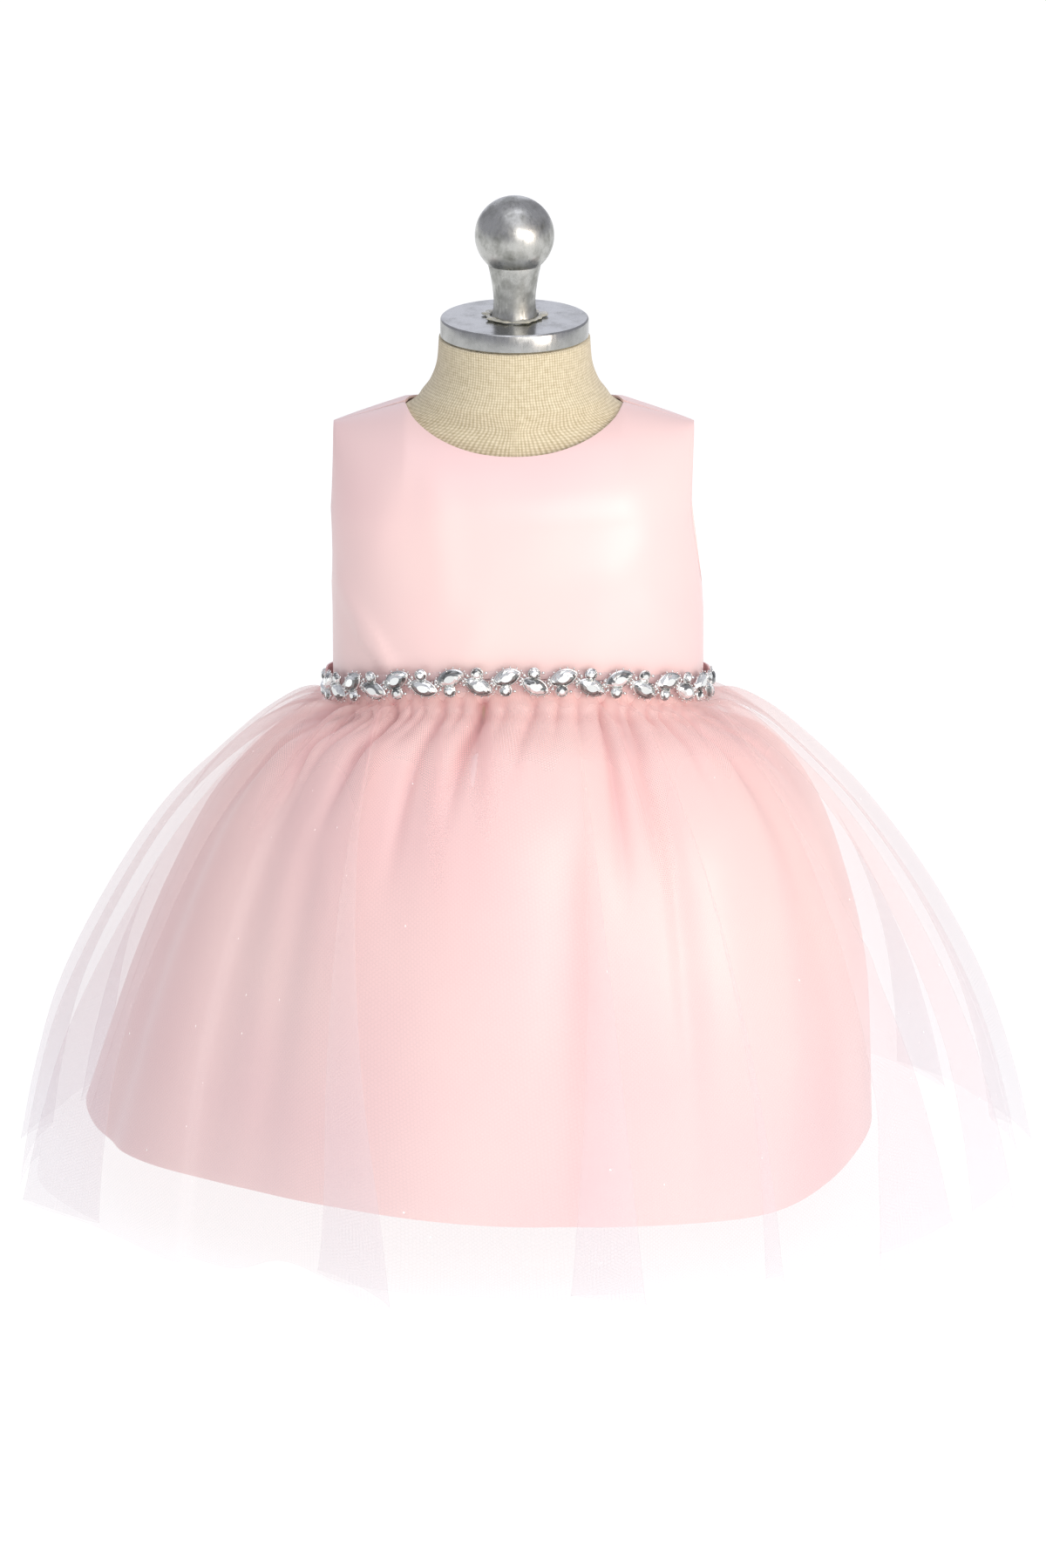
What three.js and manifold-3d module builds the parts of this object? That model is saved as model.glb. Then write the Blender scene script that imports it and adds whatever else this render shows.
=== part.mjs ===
// A baby's sleeveless pageant dress on its dress form: a satin bodice that buttons down the back, a
// gathered satin skirt, a fuller gathered tulle skirt over it, and a sash that ties behind, with a
// crystal trim in front. Millimetres, +Z up, +X to the right of the front, -Y towards the front. The
// stand's underside is at z = 0.
import * as THREE from "three";
import { mergeVertices } from "three/addons/utils/BufferGeometryUtils.js";
import Module from "manifold-3d";

const wasm = await Module();
wasm.setup();

// Cloth and seams
const seamGap = 0.3;
const satinWall = 1.2;
const tulleWall = 1.0;
const tulleOut = 1.9; // middle of the tulle's wall from the body's section, over the satin at the waist
const ribbonWall = 1.0;

// Heights and widths of the worn bodice
const waistSideZ = 253;
const waistTilt = 14.6; // the belly lifts the front of the waist seam
const waistBelly = 6;
const underarmZ = 303;
const neckPoint = { x: 51.8, z: 391.8 };
const shoulderTip = { x: 86.2, z: 382.0 };
const shoulderRound = { front: 45, back: 28 }; // height over which the shoulder turns down into the body
const sectionPower = 2.4; // squareness of a section through the body
const armholeInset = 1.5;
const frontNeck = { depth: 15.6, power: 2.1, fall: 0.86 };
const backNeck = { depth: 8.5, power: 2.4, fall: 0.9 };
const shoulderShare = 0.62; // share of a panel's top edge, from its middle, that is neckline
const bodyRows = [
  { z: 225, centre: 1.2, halfWidth: 88.0, front: 68, back: 60 },
  { z: 262, centre: 1.7, halfWidth: 88.7, front: 68, back: 60 },
  { z: 290, centre: 1.6, halfWidth: 88.7, front: 66.5, back: 61 },
  { z: 320, centre: 0.2, halfWidth: 88.2, front: 63.5, back: 61 },
  { z: 345, centre: -1.6, halfWidth: 88.0, front: 60, back: 59.5 },
  { z: 375, centre: -0.5, halfWidth: 88.3, front: 56.5, back: 56.5 },
  { z: 400, centre: 0, halfWidth: 88.8, front: 56, back: 56 },
];

// Back closing: the left back laps over the right one, with covered buttons on the lap
const lap = { half: 7, step: 2.0, rampFrom: 34, rampTo: 14 };
const button = { radius: 4.6, height: 3.0, count: 4, topZ: 366, bottomZ: 281 };

// Skirts: drop is the share of the way down from the waist to the hem, left and right the share of the
// way out. The satin stands wide on its left and hangs steeper on its right.
const satinHem = { centreX: -19, halfWidth: 189, front: 170, back: 166, z: 33 };
const satinProfile = [
  { drop: 0.0, left: 0.0, right: 0.0 },
  { drop: 0.06, left: 0.004, right: 0.004 },
  { drop: 0.08, left: 0.1, right: 0.13 },
  { drop: 0.125, left: 0.27, right: 0.4 },
  { drop: 0.25, left: 0.46, right: 0.66 },
  { drop: 0.43, left: 0.63, right: 0.84 },
  { drop: 0.66, left: 0.8, right: 0.97 },
  { drop: 1.0, left: 1.0, right: 1.0 },
];
const satinWave = { columns: 76, gathers: 19, gatherHeight: 1.0, hemWaves: 7, hemHeight: 3.2 };
const satinSway = { out: 7, down: 7, at: 52 }; // the hem swings out and down towards this angle

const tulleHem = { centreX: 5, halfWidth: 241, front: 211, back: 211, z: 13 };
const tulleProfile = [
  { drop: 0.0, left: 0.0, right: 0.0 },
  { drop: 0.04, left: 0.003, right: 0.003 },
  { drop: 0.046, left: 0.085, right: 0.085 },
  { drop: 0.054, left: 0.17, right: 0.165 },
  { drop: 0.12, left: 0.3, right: 0.28 },
  { drop: 0.265, left: 0.515, right: 0.49 },
  { drop: 0.46, left: 0.715, right: 0.7 },
  { drop: 0.665, left: 0.875, right: 0.86 },
  { drop: 0.845, left: 0.955, right: 0.95 },
  { drop: 1.0, left: 1.0, right: 1.0 },
];
const tulleGather = { perFold: 2.5, height: 1.8 };
// Folds of the tulle. Angles run from the front in degrees, positive to the right. Overlap is how far,
// in degrees at the hem, the cloth is carried back over itself; lift is how far its layers stand apart;
// turn is the way it laps, 1 where the cloth on the left lies on top; tip is how far the outer edge dips
// below the hem.
const tulleFolds = [
  { waistAt: -83, hemAt: -83, overlap: 6, lift: 6, turn: 1, tip: 6 },
  { waistAt: -66, hemAt: -66.5, overlap: 10, lift: 8, turn: -1, tip: 7 },
  { waistAt: -49, hemAt: -41, overlap: 3, lift: 5, turn: 1, tip: 1 },
  { waistAt: -35, hemAt: -18.5, overlap: 8, lift: 8, turn: 1, tip: 19 },
  { waistAt: 13, hemAt: 10.5, overlap: 7, lift: 7, turn: 1, tip: 4 },
  { waistAt: 31, hemAt: 30, overlap: 3, lift: 5, turn: 1, tip: 1 },
  { waistAt: 57, hemAt: 52, overlap: 12, lift: 9, turn: -1, tip: 6 },
  { waistAt: 77, hemAt: 69, overlap: 6, lift: 6, turn: 1, tip: 8 },
  { waistAt: 103, hemAt: 102, overlap: 8, lift: 7, turn: -1, tip: 5 },
  { waistAt: 124, hemAt: 126, overlap: 10, lift: 8, turn: 1, tip: 7 },
  { waistAt: 144, hemAt: 147, overlap: 4, lift: 6, turn: 1, tip: 1 },
  { waistAt: 163, hemAt: 166, overlap: 8, lift: 7, turn: -1, tip: 6 },
  { waistAt: 184, hemAt: 185, overlap: 4, lift: 6, turn: 1, tip: 1 },
  { waistAt: 205, hemAt: 204, overlap: 9, lift: 8, turn: 1, tip: 7 },
  { waistAt: 223, hemAt: 224, overlap: 4, lift: 6, turn: -1, tip: 2 },
  { waistAt: 241, hemAt: 243, overlap: 9, lift: 8, turn: -1, tip: 6 },
  { waistAt: 260, hemAt: 262, overlap: 5, lift: 6, turn: 1, tip: 4 },
];
const sidePuff = { at: 0.22, width: 0.075, rise: 3 }; // at the sides the cloth springs up beside the belt
const hemNotch = { at: -24, width: 8, rise: 12 }; // a stretch of hem that rides up beside a front fold
const foldColumns = 10;
const foldWidth = 1.5; // in columns
const frontFolds = 8;

// Sash, trim and bow
const sash = { height: 13, clear: 0.7, backRise: 2 };
const trim = { wall: 1.0, height: 10.5, reach: 89.5, units: 10 };
const bigStone = { half: 6.8, across: 3.6, height: 2.8, tilt: 22, above: 2.2 };
const roundStone = { radius: 2.9, height: 2.3, above: 4.2 };
const bow = {
  y: 72.0, z: 250.5, knotHalf: 9, knotHeight: 18, knotDepth: 11,
  loopReach: 78, loopDepth: 20, loopRise: 14, innerHeight: 14, outerHeight: 42,
  tailWidth: 30, tailSpread: 27, tailEnd: 0.74,
};

// Dress form: neck, shoulders and trunk, each row a level section
const formRows = [
  { z: 424.4, halfWidth: 36.3, front: 36.3, back: 36.3, power: 2.0 },
  { z: 412, halfWidth: 37.4, front: 37.0, back: 37.0, power: 2.0 },
  { z: 403, halfWidth: 40.6, front: 38.5, back: 38.0, power: 2.0 },
  { z: 397.5, halfWidth: 44.6, front: 39.6, back: 38.0, power: 2.0 },
  { z: 393, halfWidth: 48.5, front: 39.6, back: 37.0, power: 1.8 },
  { z: 388, halfWidth: 58.5, front: 39.6, back: 36.5, power: 1.5 },
  { z: 382, halfWidth: 73.0, front: 40.0, back: 37.0, power: 1.5 },
  { z: 375, halfWidth: 81.5, front: 41.5, back: 41.5, power: 1.6 },
  { z: 363, halfWidth: 83.5, front: 48.5, back: 49.0, power: 1.9 },
  { z: 345, halfWidth: 84.0, front: 55.0, back: 55.0, power: 2.2 },
  { z: 300, halfWidth: 84.5, front: 60.5, back: 56.5, power: 2.3 },
  { z: 262, halfWidth: 84.5, front: 63.0, back: 55.5, power: 2.3 },
  { z: 230, halfWidth: 83.0, front: 61.0, back: 57.0, power: 2.3 },
  { z: 200, halfWidth: 74.0, front: 52.0, back: 53.0, power: 2.2 },
  { z: 182, halfWidth: 58.0, front: 40.0, back: 42.0, power: 2.1 },
  { z: 172, halfWidth: 36.0, front: 25.0, back: 27.0, power: 2.0 },
];
const cap = { radius: 35.5, thickness: 9.2, bottomZ: 424.8, edge: 0.8 };
const finial = { footRadius: 11.0, waistRadius: 9.9, shoulderRadius: 12.6, ballRadius: 19, height: 59 };
const stand = { baseRadius: 68, baseHeight: 8, poleRadius: 9.5, edge: 1.5 };

// Colours
const finish = {
  satin: { color: 0xf6d5d6, roughness: 0.35, metalness: 0.0 },
  tulle: { color: 0xf8e6e6, roughness: 0.8, metalness: 0.0 },
  crystal: { color: 0xdde2e2, roughness: 0.08, metalness: 0.6 },
  linen: { color: 0xded2b4, roughness: 0.9, metalness: 0.0 },
  polished: { color: 0xb4b6b8, roughness: 0.15, metalness: 1.0 },
  stand: { color: 0xc9c9c6, roughness: 0.4, metalness: 0.9 },
};

const radians = Math.PI / 180;
const mix = (a, b, t) => a + (b - a) * t;
const clamp01 = (t) => Math.min(1, Math.max(0, t));
const smooth = (from, to, at) => {
  const t = clamp01((at - from) / (to - from));
  return t * t * (3 - 2 * t);
};
const signedPower = (value, power) => Math.sign(value) * Math.abs(value) ** power;

// Cubic through a table's rows, read at a share of the way from its first row to its last
function alongTable(rows, column, share) {
  const place = clamp01(share) * (rows.length - 1);
  const i = Math.min(Math.floor(place), rows.length - 2);
  const t = place - i;
  const value = (k) => rows[Math.min(Math.max(k, 0), rows.length - 1)][column];
  const slopeAt = (k) => (value(k + 1) - value(k - 1)) / 2;
  const [a, b] = [value(i), value(i + 1)];
  const h = t * t * (3 - 2 * t);
  return a + (b - a) * h + slopeAt(i) * t * (1 - t) ** 2 - slopeAt(i + 1) * t * t * (1 - t);
}

// Straight lines through a table's rows, read at a height
function atHeight(rows, column, z) {
  const last = rows.length - 1;
  const falling = rows[0].z > rows[last].z;
  const ordered = falling ? [...rows].reverse() : rows;
  if (z <= ordered[0].z) return ordered[0][column];
  const i = ordered.findIndex((row) => row.z >= z);
  if (i < 0) return ordered[last][column];
  const [low, high] = [ordered[i - 1], ordered[i]];
  return mix(low[column], high[column], (z - low.z) / (high.z - low.z));
}

function standard(name) {
  return new THREE.MeshStandardMaterial(finish[name]);
}

function meshOf(name, geometry, look) {
  const mesh = new THREE.Mesh(geometry, standard(look));
  mesh.name = name;
  return mesh;
}

function geometryFrom(points, faces) {
  const geometry = new THREE.BufferGeometry();
  const places = points.flatMap((p) => [p.x, p.y, p.z]);
  geometry.setAttribute("position", new THREE.Float32BufferAttribute(places, 3));
  geometry.setIndex(faces.flat());
  return geometry;
}

// Normals of a grid of points; a grid that wraps closes its last column on its first
function gridNormals(grid, wraps) {
  const columns = grid[0].length;
  return grid.map((row, r) => row.map((_, c) => {
    const up = grid[Math.min(r + 1, grid.length - 1)][c];
    const down = grid[Math.max(r - 1, 0)][c];
    const right = wraps ? row[(c + 1) % columns] : row[Math.min(c + 1, columns - 1)];
    const left = wraps ? row[(c + columns - 1) % columns] : row[Math.max(c - 1, 0)];
    const across = new THREE.Vector3().subVectors(right, left);
    return across.cross(new THREE.Vector3().subVectors(up, down)).normalize();
  }));
}

// A grid of points moved out along its own normals, or along those handed in
function movedOut(grid, distance, normals = gridNormals(grid, false)) {
  return grid.map((row, r) => row.map((p, c) => {
    const far = typeof distance === "function" ? distance(p) : distance;
    return p.clone().addScaledVector(normals[r][c], far);
  }));
}

// A closed wall between an inner and an outer grid of the same size
function wallBetween(inner, outer) {
  const rows = inner.length;
  const columns = inner[0].length;
  const points = [...inner.flat(), ...outer.flat()];
  const place = (side, r, c) => side * rows * columns + r * columns + c;
  const faces = [];
  const quad = (a, b, c, d) => faces.push([a, b, c], [a, c, d]);
  const [top, end] = [rows - 1, columns - 1];
  for (let r = 0; r < top; r++) {
    for (let c = 0; c < end; c++) {
      quad(place(1, r, c), place(1, r, c + 1), place(1, r + 1, c + 1), place(1, r + 1, c));
      quad(place(0, r, c), place(0, r + 1, c), place(0, r + 1, c + 1), place(0, r, c + 1));
    }
    quad(place(0, r, 0), place(1, r, 0), place(1, r + 1, 0), place(0, r + 1, 0));
    quad(place(1, r, end), place(0, r, end), place(0, r + 1, end), place(1, r + 1, end));
  }
  for (let c = 0; c < end; c++) {
    quad(place(0, 0, c), place(0, 0, c + 1), place(1, 0, c + 1), place(1, 0, c));
    quad(place(1, top, c), place(1, top, c + 1), place(0, top, c + 1), place(0, top, c));
  }
  return geometryFrom(points, faces);
}

function clothWall(grid, thickness, normals = gridNormals(grid, false)) {
  return wallBetween(movedOut(grid, -thickness / 2, normals), movedOut(grid, thickness / 2, normals));
}

// Part of a closed ring of columns as a wall, its two ends drawn back from the seams they share
function partOfRing(ring, first, last, thickness) {
  const normals = gridNormals(ring, true);
  const columns = ring[0].length;
  const at = (list, c) => list[((c % columns) + columns) % columns];
  const grid = ring.map((row) => {
    const part = [];
    for (let c = first; c <= last; c++) {
      const p = at(row, c).clone();
      const inward = c === first ? 1 : c === last ? -1 : 0;
      const along = new THREE.Vector3().subVectors(at(row, c + 1), at(row, c - 1)).normalize();
      part.push(p.addScaledVector(along, inward * seamGap * 0.68));
    }
    return part;
  });
  const kept = normals.map((row) => {
    const part = [];
    for (let c = first; c <= last; c++) part.push(at(row, c));
    return part;
  });
  kept[kept.length - 1].forEach((n) => n.setZ(0).normalize());
  return clothWall(grid, thickness, kept);
}

// Height of the waist seam at an angle from the front
function waistHeight(angle) {
  const ahead = Math.cos(angle);
  return waistSideZ + waistTilt * ahead + waistBelly * ahead * ahead;
}

// Point on the worn body's section at a height and angle, moved out level by some millimetres
function bodyPoint(angle, z, out = 0) {
  const depth = Math.cos(angle) > 0 ? "front" : "back";
  const power = 2 / sectionPower;
  const x = (atHeight(bodyRows, "halfWidth", z) + out) * signedPower(Math.sin(angle), power);
  const y = -(atHeight(bodyRows, depth, z) + out) * signedPower(Math.cos(angle), power);
  return new THREE.Vector3(atHeight(bodyRows, "centre", z) + x, y, z);
}

// Height of the shoulder's ridge at a distance from the middle
function ridgeHeight(x) {
  const slope = (neckPoint.z - shoulderTip.z) / (shoulderTip.x - neckPoint.x);
  return neckPoint.z - slope * Math.max(0, Math.abs(x) - neckPoint.x);
}

// How far the cloth stands before or behind the side seams, at a distance across from its middle
function bodyDepth(side, across, z) {
  const share = clamp01(Math.abs(across) / atHeight(bodyRows, "halfWidth", z));
  const section = (1 - share ** sectionPower) ** (1 / sectionPower);
  const below = clamp01((ridgeHeight(across) - z) / shoulderRound[side]);
  return atHeight(bodyRows, side, z) * section * Math.sqrt(1 - (1 - below) ** 2);
}

// Half-width of a bodice panel at a height: the side seam, then the armhole, up to the shoulder's tip
function panelHalfWidth(z) {
  if (z <= underarmZ) return atHeight(bodyRows, "halfWidth", z);
  const up = clamp01((z - underarmZ) / (shoulderTip.z - underarmZ));
  const seam = mix(atHeight(bodyRows, "halfWidth", underarmZ), shoulderTip.x, up);
  return seam - armholeInset * Math.sin(Math.PI * up) ** 0.8;
}

// Top edge of a bodice panel at a share of its half-width: the neckline, then the shoulder seam
function panelTop(neck, share) {
  if (share > shoulderShare) {
    const x = mix(neckPoint.x, shoulderTip.x, (share - shoulderShare) / (1 - shoulderShare));
    return { x, z: ridgeHeight(x) };
  }
  const along = share / shoulderShare;
  const x = neckPoint.x * along ** 0.96;
  return { x, z: neckPoint.z - neck.depth * (1 - along ** neck.power) ** frontNeck.fall };
}

// Grid of points of a bodice panel: rows from the waist to the top edge, a column per share of its width
function bodicePanel(side, neck, shares, lapTo) {
  const facing = side === "front" ? -1 : 1;
  const rows = 11;
  const grid = [];
  for (let r = 0; r <= rows; r++) {
    const rise = 1 - (1 - r / rows) ** 1.8;
    grid.push(shares.map((share) => {
      const size = Math.abs(share);
      const angle = size * 90 * radians;
      const top = panelTop(neck, size);
      const bottomZ = waistHeight(facing < 0 ? angle : Math.PI - angle) + seamGap * 0.65;
      const z = mix(bottomZ, top.z, rise);
      const level = Math.sin(angle) ** (2 / sectionPower);
      const reach = mix(level, top.x / shoulderTip.x, smooth(0, 1, rise));
      const across = Math.sign(share) * panelHalfWidth(z) * reach + lapTo * (1 - size) ** 4;
      const y = facing * (bodyDepth(side, across, z) + seamGap / 2);
      return new THREE.Vector3(atHeight(bodyRows, "centre", z) + across, y, z);
    }));
  }
  return grid;
}

// Wall of a bodice panel; at the side and shoulder seams its edge faces stand square to the seam
function bodiceWall(grid, shares) {
  const normals = gridNormals(grid, false);
  const top = normals.length - 1;
  normals.forEach((row, r) => row.forEach((n, c) => {
    const size = Math.abs(shares[c]);
    if (size > 0.999 || (r === top && size > shoulderShare - 0.01)) n.setY(0).normalize();
    if (r === 0) n.setZ(0).normalize();
  }));
  return clothWall(grid, satinWall, normals);
}

function evenShares(from, to, count) {
  return Array.from({ length: count + 1 }, (_, i) => mix(from, to, i / count));
}

function bodiceFront() {
  const shares = evenShares(-1, 1, 20);
  return bodiceWall(bodicePanel("front", frontNeck, shares, 0), shares);
}

// The left back's lap, towards +X, lies a step further out than the right back under it
function bodiceBack(name) {
  const over = name === "left";
  const shares = over ? evenShares(0, -1, 10) : evenShares(1, 0, 10);
  const grid = bodicePanel("back", backNeck, shares, over ? lap.half : -lap.half);
  if (!over) return bodiceWall(grid, shares);
  const step = (p) => lap.step * smooth(-lap.rampFrom, -lap.rampTo, p.x);
  return bodiceWall(movedOut(grid, step), shares);
}

// Where a skirt's cloth lies before its folds: angle from the front, share down its profile
function skirtPoint(hem, profile, waistOut, angle, share) {
  const drop = alongTable(profile, "drop", share);
  const toRight = (1 + Math.sin(angle)) / 2;
  const spread = mix(alongTable(profile, "left", share), alongTable(profile, "right", share), toRight);
  const topZ = waistHeight(angle) - seamGap * 0.65;
  const top = bodyPoint(angle, topZ, waistOut);
  const ahead = Math.cos(angle);
  const hemX = hem.centreX + hem.halfWidth * Math.sin(angle);
  const hemY = -(ahead > 0 ? hem.front : hem.back) * ahead;
  return new THREE.Vector3(mix(top.x, hemX, spread), mix(top.y, hemY, spread), mix(topZ, hem.z, drop));
}

// Direction square to a skirt's plain surface
function skirtNormal(hem, profile, waistOut, angle, share) {
  const step = 0.02;
  const up = skirtPoint(hem, profile, waistOut, angle, Math.max(0, share - step));
  const down = skirtPoint(hem, profile, waistOut, angle, Math.min(1, share + step));
  const along = new THREE.Vector3().subVectors(up, down);
  const before = skirtPoint(hem, profile, waistOut, angle - step, share);
  const after = skirtPoint(hem, profile, waistOut, angle + step, share);
  return new THREE.Vector3().subVectors(after, before).cross(along).normalize();
}

// The satin skirt, rows from hem to waist: small gathers that die into broad waves
function satinRing() {
  const rows = satinProfile.length - 1;
  const ring = [];
  for (let r = rows; r >= 0; r--) {
    const share = r / rows;
    const row = [];
    for (let c = 0; c < satinWave.columns; c++) {
      const angle = ((360 * c) / satinWave.columns - 90) * radians;
      const gather = satinWave.gatherHeight * Math.cos(satinWave.gathers * 2 * angle) * (1 - share) ** 2;
      const wave = satinWave.hemHeight * Math.cos(satinWave.hemWaves * angle + 0.8) * share ** 1.3;
      const sway = Math.cos(2 * (angle - satinSway.at * radians)) * share ** 1.5;
      const p = skirtPoint(satinHem, satinProfile, 0, angle, share);
      const n = skirtNormal(satinHem, satinProfile, 0, angle, share);
      const free = smooth(0.1, 0.3, share);
      p.addScaledVector(n, free * (gather + wave) + satinSway.out * sway);
      row.push(p.setZ(p.z - satinSway.down * sway));
    }
    ring.push(row);
  }
  return ring;
}

function satinSkirt(side) {
  const half = satinWave.columns / 2;
  const first = side === "front" ? 0 : half;
  return partOfRing(satinRing(), first, first + half, satinWall);
}

// Angle of a tulle column, in degrees: folds are named by their place at the waist and at the hem
function foldAngle(column, key) {
  const place = column / foldColumns - 0.5;
  const i = Math.floor(place);
  const t = place - i;
  const count = tulleFolds.length;
  const at = (k) => tulleFolds[((k % count) + count) % count][key] + 360 * Math.floor(k / count);
  const [a, b] = [at(i), at(i + 1)];
  const before = Math.min(a - at(i - 1), b - a);
  const after = Math.min(b - a, at(i + 2) - b);
  const h = t * t * (3 - 2 * t);
  return a + (b - a) * h + before * t * (1 - t) ** 2 - after * t * t * (1 - t);
}

// One point of the tulle: gathers near the waist, and folds that double back on themselves towards the hem
function tullePoint(column, share) {
  const drift = smooth(0.1, 1, share);
  const plain = mix(foldAngle(column, "waistAt"), foldAngle(column, "hemAt"), drift);
  const count = tulleFolds.length;
  const nearest = Math.floor(column / foldColumns);
  let carried = 0;
  let raised = 0;
  let dipped = 0;
  for (let k = nearest - 1; k <= nearest + 1; k++) {
    const fold = tulleFolds[((k % count) + count) % count];
    const away = (column - (k + 0.5) * foldColumns + 0.5) / foldWidth;
    const turned = away * Math.exp((1 - away * away) / 2);
    carried += fold.overlap * turned;
    raised += fold.lift * (0.5 * Math.exp(-away * away / 5) - fold.turn * turned);
    dipped += fold.tip * Math.exp(-((away + fold.turn) ** 2));
  }
  const gather = tulleGather.height * Math.cos((column / foldColumns) * tulleGather.perFold * 2 * Math.PI);
  const gathered = gather * smooth(0.1, 0.25, share) * (1 - share) ** 3;
  const angle = (plain - carried * share ** 1.2) * radians;
  const springs = Math.exp(-(((share - sidePuff.at) / sidePuff.width) ** 2)) * Math.sin(angle) ** 4;
  const notched = Math.exp(-(((plain - hemNotch.at) / hemNotch.width) ** 4));
  const p = skirtPoint(tulleHem, tulleProfile, tulleOut, angle, share);
  const n = skirtNormal(tulleHem, tulleProfile, tulleOut, angle, share);
  p.addScaledVector(n, raised * mix(0.12, 1, share) * smooth(0.08, 0.3, share) + gathered);
  p.z += sidePuff.rise * springs + (hemNotch.rise * notched - dipped) * share ** 6;
  return p;
}

function tulleSkirt(side) {
  const columns = tulleFolds.length * foldColumns;
  const seam = frontFolds * foldColumns;
  const rows = tulleProfile.length - 1;
  const ring = [];
  for (let r = rows; r >= 0; r--) {
    const row = [];
    for (let c = 0; c < columns; c++) row.push(tullePoint(c - 0.5, r / rows));
    ring.push(row);
  }
  const [first, last] = side === "front" ? [0, seam] : [seam, columns];
  return partOfRing(ring, first, last, tulleWall);
}

// Band of points along the waist seam between two angles, its lower edge and then its upper one
function waistBand(fromAngle, toAngle, columns, height, out) {
  const grid = [];
  for (const up of [-height / 2, height / 2]) {
    const row = [];
    for (let c = 0; c <= columns; c++) {
      const angle = mix(fromAngle, toAngle, c / columns) * radians;
      const z = waistHeight(angle) + up;
      const extra = typeof out === "function" ? out(angle) : out;
      row.push(bodyPoint(angle, waistHeight(angle), extra).setZ(z));
    }
    grid.push(row);
  }
  return grid;
}

// Distance of the sash from the body: over both skirts' tops, and over the buttoned lap behind
function sashOut(angle) {
  const behind = smooth(-0.6, -1, Math.cos(angle));
  return tulleOut + tulleWall / 2 + sash.clear + ribbonWall / 2 + sash.backRise * behind;
}

// A sash end runs from the side seam to the centre of the back, under the bow's knot
function sashEnd(name) {
  const [from, to] = name === "right" ? [90.4, 179.95] : [180.05, 269.6];
  return clothWall(waistBand(from, to, 16, sash.height, sashOut), ribbonWall);
}

function manifoldOf(geometry) {
  const plain = geometry.index ? geometry.toNonIndexed() : geometry.clone();
  plain.deleteAttribute("normal");
  plain.deleteAttribute("uv");
  const merged = mergeVertices(plain, 1e-4);
  return new wasm.Manifold(new wasm.Mesh({
    numProp: 3,
    vertProperties: merged.attributes.position.array,
    triVerts: new Uint32Array(merged.index.array),
  }));
}

function geometryOf(solid) {
  const mesh = solid.getMesh();
  const geometry = new THREE.BufferGeometry();
  geometry.setAttribute("position", new THREE.BufferAttribute(new Float32Array(mesh.vertProperties), 3));
  geometry.setIndex(new THREE.BufferAttribute(new Uint32Array(mesh.triVerts), 1));
  return geometry;
}

// A cut stone standing on the plane z = 0, its foot sunk a little: facets lean in to a flat table
function stone(outline, height) {
  const rings = [
    { z: -0.6, size: 1.0 },
    { z: height, size: 0.55 },
  ];
  const count = outline.length;
  const points = rings.flatMap(({ z, size }) => (
    outline.map((p) => new THREE.Vector3(p.x * size, p.y * size, z))
  ));
  const faces = [];
  for (let i = 0; i < count; i++) {
    const next = (i + 1) % count;
    faces.push([i, next, next + count], [i, next + count, i + count]);
  }
  for (let i = 1; i < count - 1; i++) {
    faces.push([0, i + 1, i]);
    faces.push([count, count + i, count + i + 1]);
  }
  return geometryFrom(points, faces);
}

function marquiseOutline() {
  return [0, 1, 2, 3, 4, 5].map((i) => {
    const angle = (i / 6) * 2 * Math.PI;
    return { x: bigStone.half * Math.cos(angle), y: bigStone.across * Math.sin(angle) * 1.15 };
  });
}

function roundOutline() {
  return [0, 1, 2, 3, 4, 5].map((i) => {
    const angle = (i / 6) * 2 * Math.PI;
    return { x: roundStone.radius * Math.cos(angle), y: roundStone.radius * Math.sin(angle) };
  });
}

// Angle at a share of the trim's length from its left end
function trimAngle(share) {
  const marks = evenShares(-trim.reach, trim.reach, 360);
  const points = marks.map((at) => bodyPoint(at * radians, waistHeight(at * radians), tulleOut));
  const lengths = [0];
  for (let i = 1; i < points.length; i++) {
    lengths.push(lengths[i - 1] + points[i].distanceTo(points[i - 1]));
  }
  const wanted = share * lengths[lengths.length - 1];
  const i = Math.max(1, lengths.findIndex((length) => length >= wanted));
  return mix(marks[i - 1], marks[i], (wanted - lengths[i - 1]) / (lengths[i] - lengths[i - 1]));
}

// Stones of the trim: in each unit a marquise lies low with a round one over it, then the other way up
function trimStones() {
  const stones = [];
  for (let unit = 0; unit < trim.units; unit++) {
    for (const [half, high] of [[0.3, -1], [0.8, 1]]) {
      const share = (unit + half) / trim.units;
      const [up, tilt] = [high * bigStone.above, high * bigStone.tilt];
      stones.push({ shape: "marquise", at: trimAngle(share), up, tilt });
      const before = trimAngle(share - 0.02 / trim.units);
      stones.push({ shape: "round", at: before, up: -high * roundStone.above, tilt: 0 });
    }
  }
  return stones;
}

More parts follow.
